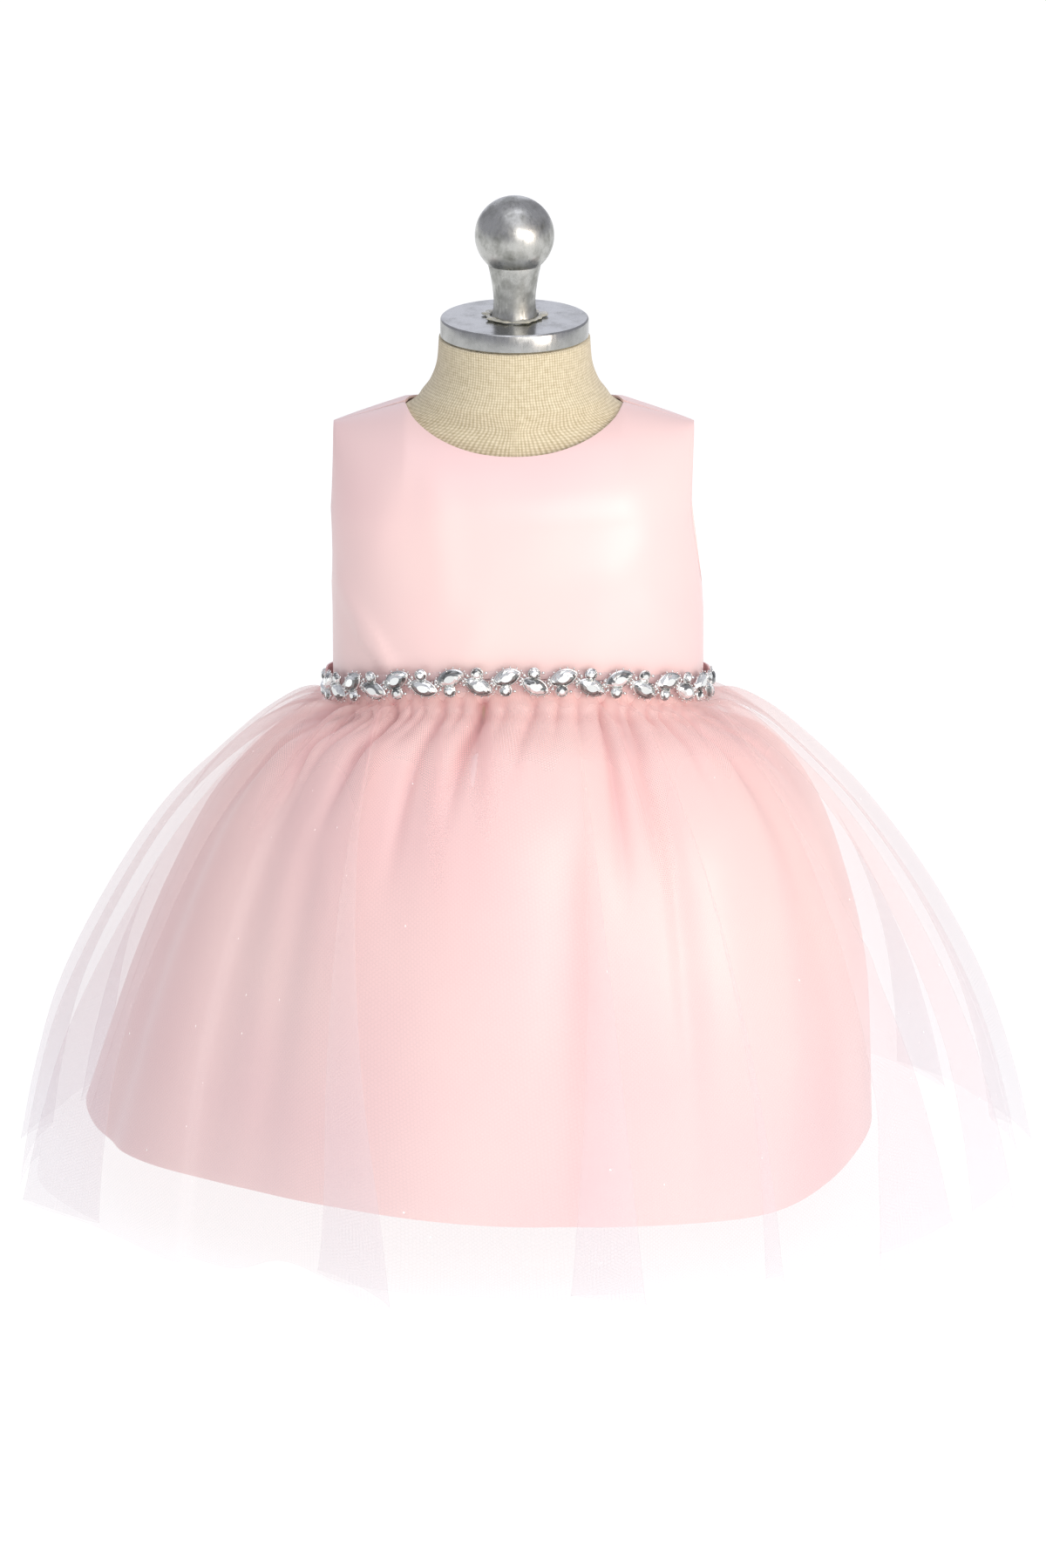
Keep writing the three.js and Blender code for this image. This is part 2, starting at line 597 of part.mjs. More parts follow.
// The crystal trim: its backing strip with the stones raised on it
function crystalTrim() {
  const out = tulleOut + tulleWall / 2 + sash.clear + trim.wall / 2;
  const strip = clothWall(waistBand(-trim.reach, trim.reach, 28, trim.height, out), trim.wall);
  const solids = [manifoldOf(strip)];
  for (const { shape, at, up, tilt } of trimStones()) {
    const angle = at * radians;
    const foot = bodyPoint(angle, waistHeight(angle), out + trim.wall / 2);
    const next = bodyPoint(angle + 0.01, waistHeight(angle + 0.01), out + trim.wall / 2);
    const along = next.clone().sub(foot).normalize();
    const facing = new THREE.Vector3().crossVectors(along, new THREE.Vector3(0, 0, 1)).normalize();
    const upward = new THREE.Vector3().crossVectors(facing, along);
    const placed = shape === "marquise"
      ? stone(marquiseOutline(), bigStone.height)
      : stone(roundOutline(), roundStone.height);
    placed.rotateZ(tilt * radians);
    placed.applyMatrix4(new THREE.Matrix4().makeBasis(along, upward, facing));
    foot.addScaledVector(upward, up);
    placed.translate(foot.x, foot.y, foot.z);
    solids.push(manifoldOf(placed));
  }
  return geometryOf(wasm.Manifold.union(solids));
}

// One wing of the bow: a ribbon that leaves the knot, turns at its far end and comes back
function bowLoop(sign) {
  const steps = 18;
  const rows = 4;
  const grid = [];
  for (let r = 0; r <= rows; r++) {
    const across = r / rows - 0.5;
    const row = [];
    for (let c = 0; c <= steps; c++) {
      const turn = mix(-1, 1, c / steps);
      const out = (1 - turn * turn) ** 0.5;
      const reach = mix(bow.knotHalf - 0.3, bow.loopReach, out);
      const height = mix(bow.innerHeight, bow.outerHeight, out ** 1.2);
      const rolled = 1 + 0.5 * Math.cos(4 * Math.PI * across);
      const bulge = Math.sin(Math.PI * turn) * (bow.loopDepth / 2) * rolled;
      const y = bow.y + Math.sign(turn) * 2.2 + bulge * (1 - 0.25 * Math.abs(across));
      const z = bow.z + bow.loopRise * out + across * height;
      row.push(new THREE.Vector3(sign * reach, y, z));
    }
    grid.push(sign > 0 ? row : row.reverse());
  }
  return clothWall(grid, satinWall);
}

function bowKnot() {
  const { knotHalf, knotHeight, knotDepth } = bow;
  const profile = [
    [0, -knotHeight / 2], [knotHalf * 0.62, -knotHeight / 2], [knotHalf, -knotHeight / 4],
    [knotHalf * 0.9, 0], [knotHalf, knotHeight / 4], [knotHalf * 0.62, knotHeight / 2], [0, knotHeight / 2],
  ].map(([x, y]) => new THREE.Vector2(x, y));
  const knot = new THREE.LatheGeometry(profile, 12);
  knot.rotateX(Math.PI / 2);
  knot.scale(1, knotDepth / (2 * knotHalf), 1);
  knot.translate(0, bow.y, bow.z);
  return knot;
}

// A tail leaves the underside of the knot, rides over the gathers and lies on the outer folds of the tulle
function bowTail(sign) {
  const steps = 12;
  const grid = [];
  for (let r = steps; r >= 0; r--) {
    const down = r / steps;
    const share = mix(0.27, bow.tailEnd, down);
    const width = mix(11, bow.tailWidth, smooth(0, 0.5, down));
    const row = [];
    for (let c = 0; c <= 3; c++) {
      const across = 0.5 - c / 3;
      const x = sign * mix(9, bow.tailSpread, down) + across * width;
      const radius = mix(88, tulleHem.halfWidth, alongTable(tulleProfile, "left", share));
      const angle = Math.PI - Math.asin(x / radius);
      const p = skirtPoint(tulleHem, tulleProfile, 3, angle, share);
      const n = skirtNormal(tulleHem, tulleProfile, 3, angle, share);
      const crease = 1.2 * Math.cos(2 * Math.PI * across) * smooth(0, 0.3, down);
      p.addScaledVector(n, mix(8, 17, down) + crease);
      row.push(r === 0 ? new THREE.Vector3(x, bow.y, bow.z - bow.knotHeight / 2 - 1.2) : p);
    }
    grid.push(row);
  }
  return clothWall(grid, satinWall);
}

function coveredButton() {
  const { radius, height } = button;
  const profile = [
    [0, 0], [radius * 0.8, 0], [radius, height * 0.35], [radius * 0.75, height * 0.85], [0, height],
  ].map(([x, y]) => new THREE.Vector2(x, y));
  return new THREE.LatheGeometry(profile, 10);
}

// Buttons stand on the lap, square to the back
function buttons() {
  const made = [];
  for (let i = 0; i < button.count; i++) {
    const z = mix(button.topZ, button.bottomZ, i / (button.count - 1));
    const depth = (height) => bodyDepth("back", 0, height) + seamGap / 2 + lap.step + satinWall / 2;
    const lean = Math.atan2(depth(z - 4) - depth(z + 4), 8);
    const mesh = meshOf(`button_${i + 1}`, coveredButton(), "satin");
    mesh.rotation.x = lean;
    mesh.position.set(atHeight(bodyRows, "centre", z), depth(z) + seamGap / Math.cos(lean), z);
    made.push(mesh);
  }
  return made;
}

// The form's trunk, shoulders and neck as one closed body
function formBust() {
  const sides = 28;
  const rows = [...formRows].reverse();
  const rings = rows.map((row) => {
    const ring = [];
    for (let i = 0; i < sides; i++) {
      const angle = (i / sides) * 2 * Math.PI;
      const depth = Math.cos(angle) > 0 ? row.front : row.back;
      const x = row.halfWidth * signedPower(Math.sin(angle), 2 / row.power);
      const y = -depth * signedPower(Math.cos(angle), 2 / row.power);
      ring.push(new THREE.Vector3(x, y, row.z));
    }
    return ring;
  });
  const points = rings.flat();
  const faces = [];
  for (let r = 0; r < rings.length - 1; r++) {
    for (let i = 0; i < sides; i++) {
      const [a, b] = [r * sides + i, r * sides + ((i + 1) % sides)];
      faces.push([a, b, b + sides], [a, b + sides, a + sides]);
    }
  }
  const topStart = (rings.length - 1) * sides;
  for (let i = 1; i < sides - 1; i++) {
    faces.push([0, i + 1, i]);
    faces.push([topStart, topStart + i, topStart + i + 1]);
  }
  return geometryFrom(points, faces);
}

// A body turned about Z from a profile of radius and height
function turned(profile, sides) {
  const points = profile.map(([radius, z]) => new THREE.Vector2(radius, z));
  return new THREE.LatheGeometry(points, sides).rotateX(Math.PI / 2);
}

function neckCap() {
  const { radius, thickness, bottomZ, edge } = cap;
  const top = bottomZ + thickness;
  return turned([[0, bottomZ], [radius - edge, bottomZ], [radius, bottomZ + edge], [radius, top - edge],
    [radius - edge, top], [0, top]], 36);
}

// Tapered stem that runs into a ball
function finialKnob() {
  const foot = cap.bottomZ + cap.thickness + seamGap;
  const { footRadius, waistRadius, shoulderRadius, ballRadius, height } = finial;
  const ballZ = foot + height - ballRadius;
  const join = Math.asin(shoulderRadius / ballRadius);
  const shoulderZ = ballZ - ballRadius * Math.cos(join);
  const taper = [mix(waistRadius, shoulderRadius, 0.35), mix(foot + 10, shoulderZ, 0.6)];
  const profile = [[0, foot], [footRadius, foot], [waistRadius, foot + 4], [waistRadius, foot + 10], taper];
  for (let i = 0; i < 10; i++) {
    const angle = join + ((Math.PI - join) * i) / 10;
    profile.push([ballRadius * Math.sin(angle), ballZ - ballRadius * Math.cos(angle)]);
  }
  profile.push([0, ballZ + ballRadius]);
  return turned(profile, 20);
}

function standBase() {
  const { baseRadius, baseHeight, edge } = stand;
  return turned([[0, 0], [baseRadius - edge / 2, 0], [baseRadius, edge], [baseRadius, baseHeight - edge],
    [baseRadius - edge, baseHeight], [0, baseHeight]], 36);
}

function standPole() {
  const bottom = stand.baseHeight + seamGap;
  const top = formRows[formRows.length - 1].z - seamGap;
  return turned([[0, bottom], [stand.poleRadius, bottom], [stand.poleRadius, top], [0, top]], 24);
}

function dress() {
  const group = new THREE.Group();
  group.add(
    meshOf("bodice_front", bodiceFront(), "satin"),
    meshOf("bodice_back_left", bodiceBack("left"), "satin"),
    meshOf("bodice_back_right", bodiceBack("right"), "satin"),
    meshOf("satin_skirt_front", satinSkirt("front"), "satin"),
    meshOf("satin_skirt_back", satinSkirt("back"), "satin"),
    meshOf("tulle_skirt_front", tulleSkirt("front"), "tulle"),
    meshOf("tulle_skirt_back", tulleSkirt("back"), "tulle"),
    meshOf("sash_left", sashEnd("left"), "satin"),
    meshOf("sash_right", sashEnd("right"), "satin"),
    meshOf("crystal_trim", crystalTrim(), "crystal"),
    meshOf("bow_loop_left", bowLoop(-1), "satin"),
    meshOf("bow_loop_right", bowLoop(1), "satin"),
    meshOf("bow_knot", bowKnot(), "satin"),
    meshOf("bow_tail_left", bowTail(-1), "satin"),
    meshOf("bow_tail_right", bowTail(1), "satin"),
    ...buttons(),
  );
  return group;
}

function dressForm() {
  const group = new THREE.Group();
  group.add(
    meshOf("form_bust", formBust(), "linen"),
    meshOf("form_neck_cap", neckCap(), "polished"),
    meshOf("form_finial", finialKnob(), "polished"),
    meshOf("stand_pole", standPole(), "stand"),
    meshOf("stand_base", standBase(), "stand"),
  );
  return group;
}

const part = new THREE.Group();
part.add(dress(), dressForm());
export default part;
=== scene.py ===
import math

import bmesh
import bpy
from mathutils import Matrix, Vector


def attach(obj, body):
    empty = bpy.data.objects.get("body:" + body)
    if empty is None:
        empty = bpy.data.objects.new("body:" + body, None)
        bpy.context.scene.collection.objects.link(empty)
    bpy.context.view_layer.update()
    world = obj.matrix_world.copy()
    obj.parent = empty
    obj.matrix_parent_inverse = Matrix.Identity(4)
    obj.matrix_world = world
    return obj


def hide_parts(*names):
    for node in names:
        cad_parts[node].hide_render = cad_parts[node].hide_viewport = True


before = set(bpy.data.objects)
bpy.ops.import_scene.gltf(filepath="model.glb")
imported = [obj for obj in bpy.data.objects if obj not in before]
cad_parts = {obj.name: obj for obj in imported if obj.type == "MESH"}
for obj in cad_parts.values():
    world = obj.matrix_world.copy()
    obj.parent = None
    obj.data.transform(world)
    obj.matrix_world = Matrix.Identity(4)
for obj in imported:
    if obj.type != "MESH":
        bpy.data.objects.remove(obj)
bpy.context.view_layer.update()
mm = 0.001
radians = math.pi / 180

# Sizes are millimetres, angles degrees from the front, positive towards +X


# Rows of a table as dictionaries that share their keys
def rowsOf(keys, rows):
    return [dict(zip(keys.split(), row)) for row in rows]


seamGap = 0.3
waistSeamHalf = seamGap * 0.65
tulleHalfWall = 0.5
ribbonWall = 1.0
waistSeam = {"side": 253, "tilt": 14.6, "belly": 6}
underarmZ = 303
neckPoint = {"x": 51.8, "z": 391.8}
shoulderTip = {"x": 86.2, "z": 382.0}
shoulderRound = {"front": 45, "back": 28}
sectionPower = 2.4
shoulderShare = 0.62
bodyRows = rowsOf("z centre halfWidth front back", [
    (225, 1.2, 88.0, 68, 60),
    (262, 1.7, 88.7, 68, 60),
    (290, 1.6, 88.7, 66.5, 61),
    (320, 0.2, 88.2, 63.5, 61),
    (345, -1.6, 88.0, 60, 59.5),
    (375, -0.5, 88.3, 56.5, 56.5),
    (400, 0, 88.8, 56, 56),
])


def mix(a, b, t):
    return a + (b - a) * t


def clamp01(t):
    return min(1.0, max(0.0, t))


def smooth(start, end, at):
    t = clamp01((at - start) / (end - start))
    return t * t * (3 - 2 * t)


def signedPower(value, power):
    return math.copysign(abs(value) ** power, value)


def bell(away, width):
    return math.exp(-(away / width) ** 2)


# A repeatable value from 0 to 1 for a thing's number
def spread(number, kind=0):
    value = math.sin(number * 12.9898 + kind * 78.233) * 43758.5453
    return value - math.floor(value)


# Cubic through a table's rows, read at a share of the way down it
def alongTable(rows, column, share):
    place = clamp01(share) * (len(rows) - 1)
    i = min(int(place), len(rows) - 2)
    t = place - i
    value = lambda k: rows[min(max(k, 0), len(rows) - 1)][column]
    slopeAt = lambda k: (value(k + 1) - value(k - 1)) / 2
    h = smooth(0, 1, t)
    bend = slopeAt(i) * t * (1 - t) ** 2 - slopeAt(i + 1) * t * t * (1 - t)
    return mix(value(i), value(i + 1), h) + bend


def atHeight(rows, column, z):
    if z <= rows[0]["z"]:
        return rows[0][column]
    for low, high in zip(rows, rows[1:]):
        if z <= high["z"]:
            t = (z - low["z"]) / (high["z"] - low["z"])
            return mix(low[column], high[column], t)
    return rows[-1][column]


def waistHeight(angle):
    ahead = math.cos(angle)
    return waistSeam["side"] + waistSeam["tilt"] * ahead + waistSeam["belly"] * ahead * ahead


def bodyPoint(angle, z, out=0.0):
    depth = "front" if math.cos(angle) > 0 else "back"
    power = 2 / sectionPower
    x = (atHeight(bodyRows, "halfWidth", z) + out) * signedPower(math.sin(angle), power)
    y = -(atHeight(bodyRows, depth, z) + out) * signedPower(math.cos(angle), power)
    return Vector((atHeight(bodyRows, "centre", z) + x, y, z))


# Meshes

# A rectangle of cloth, laid flat by its own size for the weave, then every point carried to its place.
# Where gathers bunch it up, that is kept as its fold, from 0 to 1
def clothMesh(across, up, pointAt, cut, foldAt=None):
    bm = bmesh.new()
    bmesh.ops.create_grid(bm, x_segments=across, y_segments=up, size=0.5)
    flat = bm.loops.layers.uv.new("flat")
    if foldAt:
        fold = bm.verts.layers.float.new("fold")
        for vert in bm.verts:
            vert[fold] = clamp01(foldAt(vert.co.x + 0.5, vert.co.y + 0.5))
    for face in bm.faces:
        for loop in face.loops:
            place = loop.vert.co
            loop[flat].uv = ((place.x + 0.5) * cut[0], (place.y + 0.5) * cut[1])
    for vert in bm.verts:
        vert.co = pointAt(vert.co.x + 0.5, vert.co.y + 0.5) * mm
    return bm


# The same closed on itself, with its two ends filled
def tubeMesh(around, up, pointAt, cut):
    bm = clothMesh(around, up, pointAt, cut)
    bmesh.ops.remove_doubles(bm, verts=bm.verts, dist=1e-6)
    bmesh.ops.holes_fill(bm, edges=[e for e in bm.edges if e.is_boundary])
    bmesh.ops.recalc_face_normals(bm, faces=bm.faces)
    return bm


# A profile of radius and height turned about Z
def turnedMesh(profile, steps):
    bm = bmesh.new()
    verts = [bm.verts.new((radius * mm, 0, z * mm)) for radius, z in profile]
    edges = [bm.edges.new(pair) for pair in zip(verts, verts[1:])]
    bmesh.ops.spin(bm, geom=verts + edges, axis=(0, 0, 1), cent=(0, 0, 0),
                   angle=2 * math.pi, steps=steps, use_duplicate=False)
    bmesh.ops.remove_doubles(bm, verts=bm.verts, dist=1e-6)
    bmesh.ops.recalc_face_normals(bm, faces=bm.faces)
    return bm


def addObject(name, data):
    made = bpy.data.objects.new(name, data)
    bpy.context.scene.collection.objects.link(made)
    return made


def meshObject(name, bm, material):
    mesh = bpy.data.meshes.new(name)
    bm.to_mesh(mesh)
    bm.free()
    mesh.materials.append(material)
    return addObject(name, mesh)


# A finished piece, in place of the nodes that it shows
def addPiece(name, bm, material, nodes):
    piece = meshObject(name, bm, material)
    piece.data.shade_smooth()
    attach(piece, "root")
    if nodes:
        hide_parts(*nodes)
    return piece


# Gives a sheet its cloth's thickness, with its raw edge rounded
def thicken(piece, thickness, rounding=0.3):
    solid = piece.modifiers.new("thickness", "SOLIDIFY")
    solid.thickness = thickness * mm
    solid.offset = 0
    solid.use_even_offset = False
    edge = piece.modifiers.new("edge", "BEVEL")
    edge.width = rounding * mm
    edge.segments = 2
    edge.limit_method = "ANGLE"
    edge.angle_limit = 60 * radians
    edge.use_clamp_overlap = True


# Materials

def linear(code):
    values = [int(code[i:i + 2], 16) / 255 for i in (1, 3, 5)]
    return [v / 12.92 if v <= 0.04045 else ((v + 0.055) / 1.055) ** 2.4 for v in values] + [1.0]


class Nodes:
    def __init__(self, name):
        self.material = bpy.data.materials.new(name)
        self.material.use_nodes = True
        self.tree = self.material.node_tree
        self.shader = self.tree.nodes["Principled BSDF"]

    # Adds a node; inputs are values or links by name or number, settings are the node's own properties
    def add(self, kind, inputs=None, **settings):
        node = self.tree.nodes.new("ShaderNode" + kind)
        for key, value in settings.items():
            setattr(node, key, value)
        for key, value in (inputs or {}).items():
            if isinstance(value, bpy.types.NodeSocket):
                self.tree.links.new(value, node.inputs[key])
            else:
                node.inputs[key].default_value = value
        return node

    def link(self, value, socket):
        self.tree.links.new(value, self.shader.inputs[socket])

    def constants(self, **values):
        for key, value in values.items():
            self.shader.inputs[key.replace("_", " ")].default_value = value

    def math(self, operation, a, b=0.0, c=0.0, clamp=False):
        return self.add("Math", {0: a, 1: b, 2: c}, operation=operation, use_clamp=clamp).outputs[0]

    def mapped(self, value, a, b, c, d):
        limits = {"From Min": a, "From Max": b, "To Min": c, "To Max": d}
        return self.add("MapRange", {"Value": value, **limits}).outputs["Result"]

    def blend(self, factor, a, b):
        node = self.add("Mix", {0: factor, 6: a, 7: b}, data_type="RGBA")
        return node.outputs[2]

    def noise(self, vector, scale, output="Fac", **others):
        return self.add("TexNoise", {"Vector": vector, "Scale": scale, **others}).outputs[output]

    # Bands that lie that many millimetres apart
    def bands(self, vector, pitch, way, **others):
        scale = math.pi / (10 * pitch * mm)
        made = self.add("TexWave", {"Vector": vector, "Scale": scale, **others}, bands_direction=way)
        return made.outputs["Fac"]

    def bump(self, strength, depth, height):
        made = self.add("Bump", {"Strength": strength, "Distance": depth * mm, "Height": height})
        self.link(made.outputs[0], "Normal")

    def place(self):
        return self.add("TexCoord").outputs["Object"]

    def flat(self):
        return self.add("UVMap", uv_map="flat").outputs["UV"]

    def fold(self):
        return self.add("Attribute", attribute_name="fold").outputs["Fac"]


# Polyester satin: floats along the warp give it a soft pearly gloss, and its folds are painted with shade
# of a deeper pink
def satinMaterial(name, base, shade, foldShadeColour, gloss):
    look = Nodes(name)
    flat = look.flat()
    broad = look.noise(look.place(), 9.0, Detail=2.0)
    even = look.blend(look.mapped(broad, 0.3, 0.7, 0, 1), linear(base), linear(shade))
    # Painted shade: the more the cloth is folded, the more its colour is blended towards a deeper pink
    shadedInFolds = look.math("MULTIPLY", look.fold(), satinCloth["paintedFoldShade"])
    look.link(look.blend(shadedInFolds, even, linear(foldShadeColour)), "Base Color")
    threads = look.bands(flat, satinCloth["pitch"], "X", Distortion=0.6)
    stretched = look.add("Mapping", {"Vector": flat, "Scale": (900, 60, 1)}).outputs[0]
    slub = look.noise(stretched, 1.0, Detail=3.0)
    height = look.math("ADD", look.math("MULTIPLY", threads, 0.3), slub)
    look.bump(satinCloth["bump"], satinCloth["relief"], height)
    look.link(look.mapped(slub, 0.3, 0.7, gloss - 0.04, gloss + 0.06), "Roughness")
    look.constants(IOR=1.5, Sheen_Weight=0.25, Sheen_Roughness=0.45, Sheen_Tint=linear("#fff1ee"))
    return look.material


# Nylon bridal tulle: a net of six-sided meshes about a millimetre across. It reads as a veil, thin and
# cool at the hem, warmer and denser where it is gathered, with painted shade of deeper pink in its folds,
# and a few glitter specks that glow as a painted glint
def tulleMaterial(name, settings):
    look = Nodes(name)
    flat = look.flat()
    cell = 2 * math.pi / (settings["mesh"] * mm * math.sqrt(3) / 2)
    waves = []
    for turn in (0, 60, 120):
        way = (cell * math.cos(turn * radians), cell * math.sin(turn * radians), 0)
        along = look.add("VectorMath", {0: flat, 1: way}, operation="DOT_PRODUCT").outputs["Value"]
        waves.append(look.math("COSINE", along))
    meshPattern = look.math("ADD", look.math("ADD", waves[0], waves[1]), waves[2])
    thread = look.mapped(meshPattern, -0.2, -1.0, 0, settings["thread"])
    up = look.add("SeparateXYZ", {0: flat}).outputs["Y"]
    length = settings["length"]
    gathered = look.mapped(up, 0, length, settings["film"], settings["gathered"])
    bunched = look.math("MULTIPLY", look.fold(), settings["bunched"])
    cover = look.math("ADD", look.math("ADD", thread, gathered), bunched)
    every = settings["speckEvery"]
    specks = look.add("TexVoronoi", {"Vector": flat, "Scale": 1 / (every * mm), "Randomness": 1.0},
                      voronoi_dimensions="2D")
    chance = look.add("SeparateColor", {0: specks.outputs["Color"]}).outputs[0]
    picked = look.math("LESS_THAN", chance, settings["speckShare"])
    near = look.math("LESS_THAN", specks.outputs["Distance"], settings["speck"] / every)
    glitterAndGlint = look.math("MULTIPLY", near, picked)
    alpha = look.math("MAXIMUM", cover, glitterAndGlint, clamp=True)
    look.link(alpha, "Alpha")
    warmth = look.mapped(up, 0.02, length * 0.6, 0, 1)
    tint = look.blend(warmth, linear(settings["hem"]), linear(settings["blush"]))
    # Painted shade: the gather valleys are tinted towards a deeper pink
    creased = look.math("MULTIPLY", look.fold(), settings["paintedFoldShade"])
    shadedInFolds = look.blend(creased, tint, linear(settings["foldShadeColour"]))
    colour = look.blend(glitterAndGlint, shadedInFolds, linear("#ffffff"))
    look.link(colour, "Base Color")
    # Painted glint: the white specks glow with their own light
    look.link(look.math("MULTIPLY", glitterAndGlint, 0.5), "Emission Strength")
    look.constants(Emission_Color=linear("#fffaf6"), Roughness=0.8, IOR=1.25, Sheen_Weight=0.1)
    # Light that falls on the far side comes through the threads
    through = look.add("BsdfTranslucent", {"Color": colour}).outputs[0]
    clear = look.add("BsdfTransparent").outputs[0]
    threads = look.add("MixShader", {0: alpha, 1: clear, 2: through}).outputs[0]
    both = look.add("MixShader", {0: 0.5, 1: look.shader.outputs[0], 2: threads}).outputs[0]
    look.tree.links.new(both, look.tree.nodes["Material Output"].inputs["Surface"])
    return look.material


# Cotton knit pulled over the padding: upright ribs crossed by courses, a little over a millimetre each
def knitMaterial(name, base, dark):
    look = Nodes(name)
    flat = look.flat()
    drift = look.noise(flat, 25.0, "Color", Detail=1.0)
    wander = look.add("VectorMath", {0: drift, 1: (5 * mm, 3 * mm, 0), 2: flat},
                      operation="MULTIPLY_ADD").outputs[0]
    ribs = look.bands(wander, knitPitch["rib"], "X", Distortion=0.4, Detail=1.0)
    courses = look.bands(wander, knitPitch["course"], "Y", Distortion=0.5)
    across = look.math("MULTIPLY_ADD", ribs, 0.7, 0.3)
    weave = look.math("MULTIPLY", across, look.math("MULTIPLY_ADD", courses, 0.5, 0.5))
    fuzz = look.noise(look.place(), 500.0, Detail=3.0)
    tone = look.math("MULTIPLY_ADD", look.mapped(fuzz, 0.3, 0.7, -0.5, 0.5), 0.35, weave, clamp=True)
    look.link(look.blend(tone, linear(dark), linear(base)), "Base Color")
    look.bump(0.5, 0.3, weave)
    look.constants(Roughness=0.95, IOR=1.4, Sheen_Weight=0.2, Sheen_Roughness=0.6)
    return look.material


# Handled metal: fine scratches and a few dull patches over a polish
def metalMaterial(name, base, dull, roughness, wear):
    look = Nodes(name)
    place = look.place()
    patch = look.noise(place, 90.0, Detail=6.0, Roughness=0.65)
    drawn = look.add("Mapping", {"Vector": place, "Scale": (400, 400, 60)}).outputs[0]
    fine = look.noise(drawn, 2.0, Detail=4.0)
    worn = look.mapped(patch, 0.45, 0.7, 0, wear)
    look.link(look.blend(worn, linear(base), linear(dull)), "Base Color")
    scuffed = look.math("MULTIPLY", patch, fine)
    look.link(look.mapped(scuffed, 0.1, 0.4, roughness, roughness + wear * 0.4), "Roughness")
    look.bump(0.15, 0.05, fine)
    look.constants(Metallic=1.0)
    return look.material


# Foil-backed cut glass: each facet carries a painted reflection, a fixed tone for what its foil throws
# back
def crystalMaterial():
    look = Nodes("foilBackedCrystal")
    tone = look.add("VertexColor", layer_name="facetGlints").outputs["Color"]
    grey = look.add("SeparateColor", {0: tone}).outputs[0]
    look.link(look.blend(grey, linear("#2b2f2d"), linear("#fbfffd")), "Base Color")
    look.constants(Metallic=0.75, Roughness=0.06, IOR=1.6, Coat_Weight=0.6, Coat_Roughness=0.02)
    return look.material


# Dried glue, squeezed out in a yellowish half-clear bead
def glueMaterial():
    look = Nodes("driedGlue")
    lumps = look.noise(look.place(), 320.0, Detail=2.0)
    look.link(look.blend(lumps, linear("#c9c8b2"), linear("#f1efe0")), "Base Color")
    look.constants(Roughness=0.22, IOR=1.5, Transmission_Weight=0.35)
    return look.material


floorGlow = 0.865


# Matt white sweep that the light leaves just at white
def floorMaterial():
    look = Nodes("whiteSweep")
    grain = look.noise(look.place(), 3.0)
    look.link(look.blend(grain, linear("#828282"), linear("#808080")), "Base Color")
    look.constants(Roughness=0.9, Emission_Color=linear("#ffffff"), Emission_Strength=floorGlow)
    return look.material


# The painted shade in a fold, the pitch of the warp's floats and how far they stand out
satinCloth = {"paintedFoldShade": 0.55, "pitch": 0.45, "bump": 0.12, "relief": 0.06}
# The third colour of each satin is the painted shade in its folds
satin = satinMaterial("pearlSatin", "#f2d6d0", "#eeccca", "#dfa9ac", 0.32)
ribbonSatin = satinMaterial("ribbonSatin", "#efcbcb", "#ebc4c6", "#dda4a8", 0.3)
# The deeper pink given here is painted shade for the gather valleys
tulle = tulleMaterial("blushTulle", {
    "mesh": 1.1, "film": 0.15, "thread": 0.04, "gathered": 0.3, "bunched": 0.1, "paintedFoldShade": 0.5,
    "length": 0.26, "hem": "#eee8ee", "blush": "#ffebe5", "foldShadeColour": "#efc0c1",
    "speckEvery": 26.0, "speck": 0.26, "speckShare": 0.3,
})
knitPitch = {"rib": 1.4, "course": 1.25}
knit = knitMaterial("creamKnit", "#e6dcbf", "#aea07c")
polished = metalMaterial("polishedAluminium", "#b2b3b1", "#7c7d77", 0.14, 0.5)
knobMetal = metalMaterial("handledAluminium", "#bdbeba", "#74756e", 0.17, 0.8)
silver = metalMaterial("silverSettings", "#e3e4e2", "#b3b4b0", 0.18, 0.3)
chrome = metalMaterial("chromedSteel", "#cfd0d0", "#a5a6a5", 0.2, 0.3)
crystal = crystalMaterial()
glue = glueMaterial()
print("materials ready")


# Skirts

satinHem = {"centreX": -19, "halfWidth": 189, "front": 170, "back": 166, "z": 33}
satinProfile = rowsOf("drop left right", [
    (0.0, 0.0, 0.0),
    (0.06, 0.004, 0.004),
    (0.08, 0.1, 0.13),
    (0.125, 0.27, 0.4),
    (0.25, 0.46, 0.66),
    (0.43, 0.63, 0.84),
    (0.66, 0.8, 0.97),
    (1.0, 1.0, 1.0),
])
satinWave = {"hemWaves": 7, "hemHeight": 3.2, "phase": 0.8}
satinSway = {"out": 7, "down": 7, "at": 52}
satinPiece = {"across": 360, "up": 72, "thickness": 1.2, "cut": (0.56, 0.285), "gathersFrom": 0.07}
# Soft troughs (and ridges, where depth is negative) of the satin: from an angle at one share of the way
# down to another angle at another share
satinCreases = rowsOf("from to width depth", [
    ((-52, 0.45), (-47, 0.95), 7, 5.0),
    ((-37, 0.6), (-35, 0.9), 4, 2.5),
    ((-30, 0.35), (-28, 1.0), 7, -2.5),
    ((13, 0.55), (13, 0.95), 4, 3.5),
    ((33, 0.4), (33, 0.88), 2.4, 2.6),
    ((42, 0.5), (43, 1.0), 8, -3.0),
    ((62, 0.3), (59, 0.9), 5, 3.0),
    ((-75, 0.3), (-74, 1.0), 6, 3.0),
    ((112, 0.3), (116, 1.0), 7, 3.5),
    ((150, 0.15), (146, 0.8), 5, 3.0),
    ((196, 0.3), (200, 1.0), 6, 3.5),
    ((232, 0.15), (236, 0.9), 6, 3.0),
    ((252, 0.4), (249, 1.0), 5, 2.5),
])
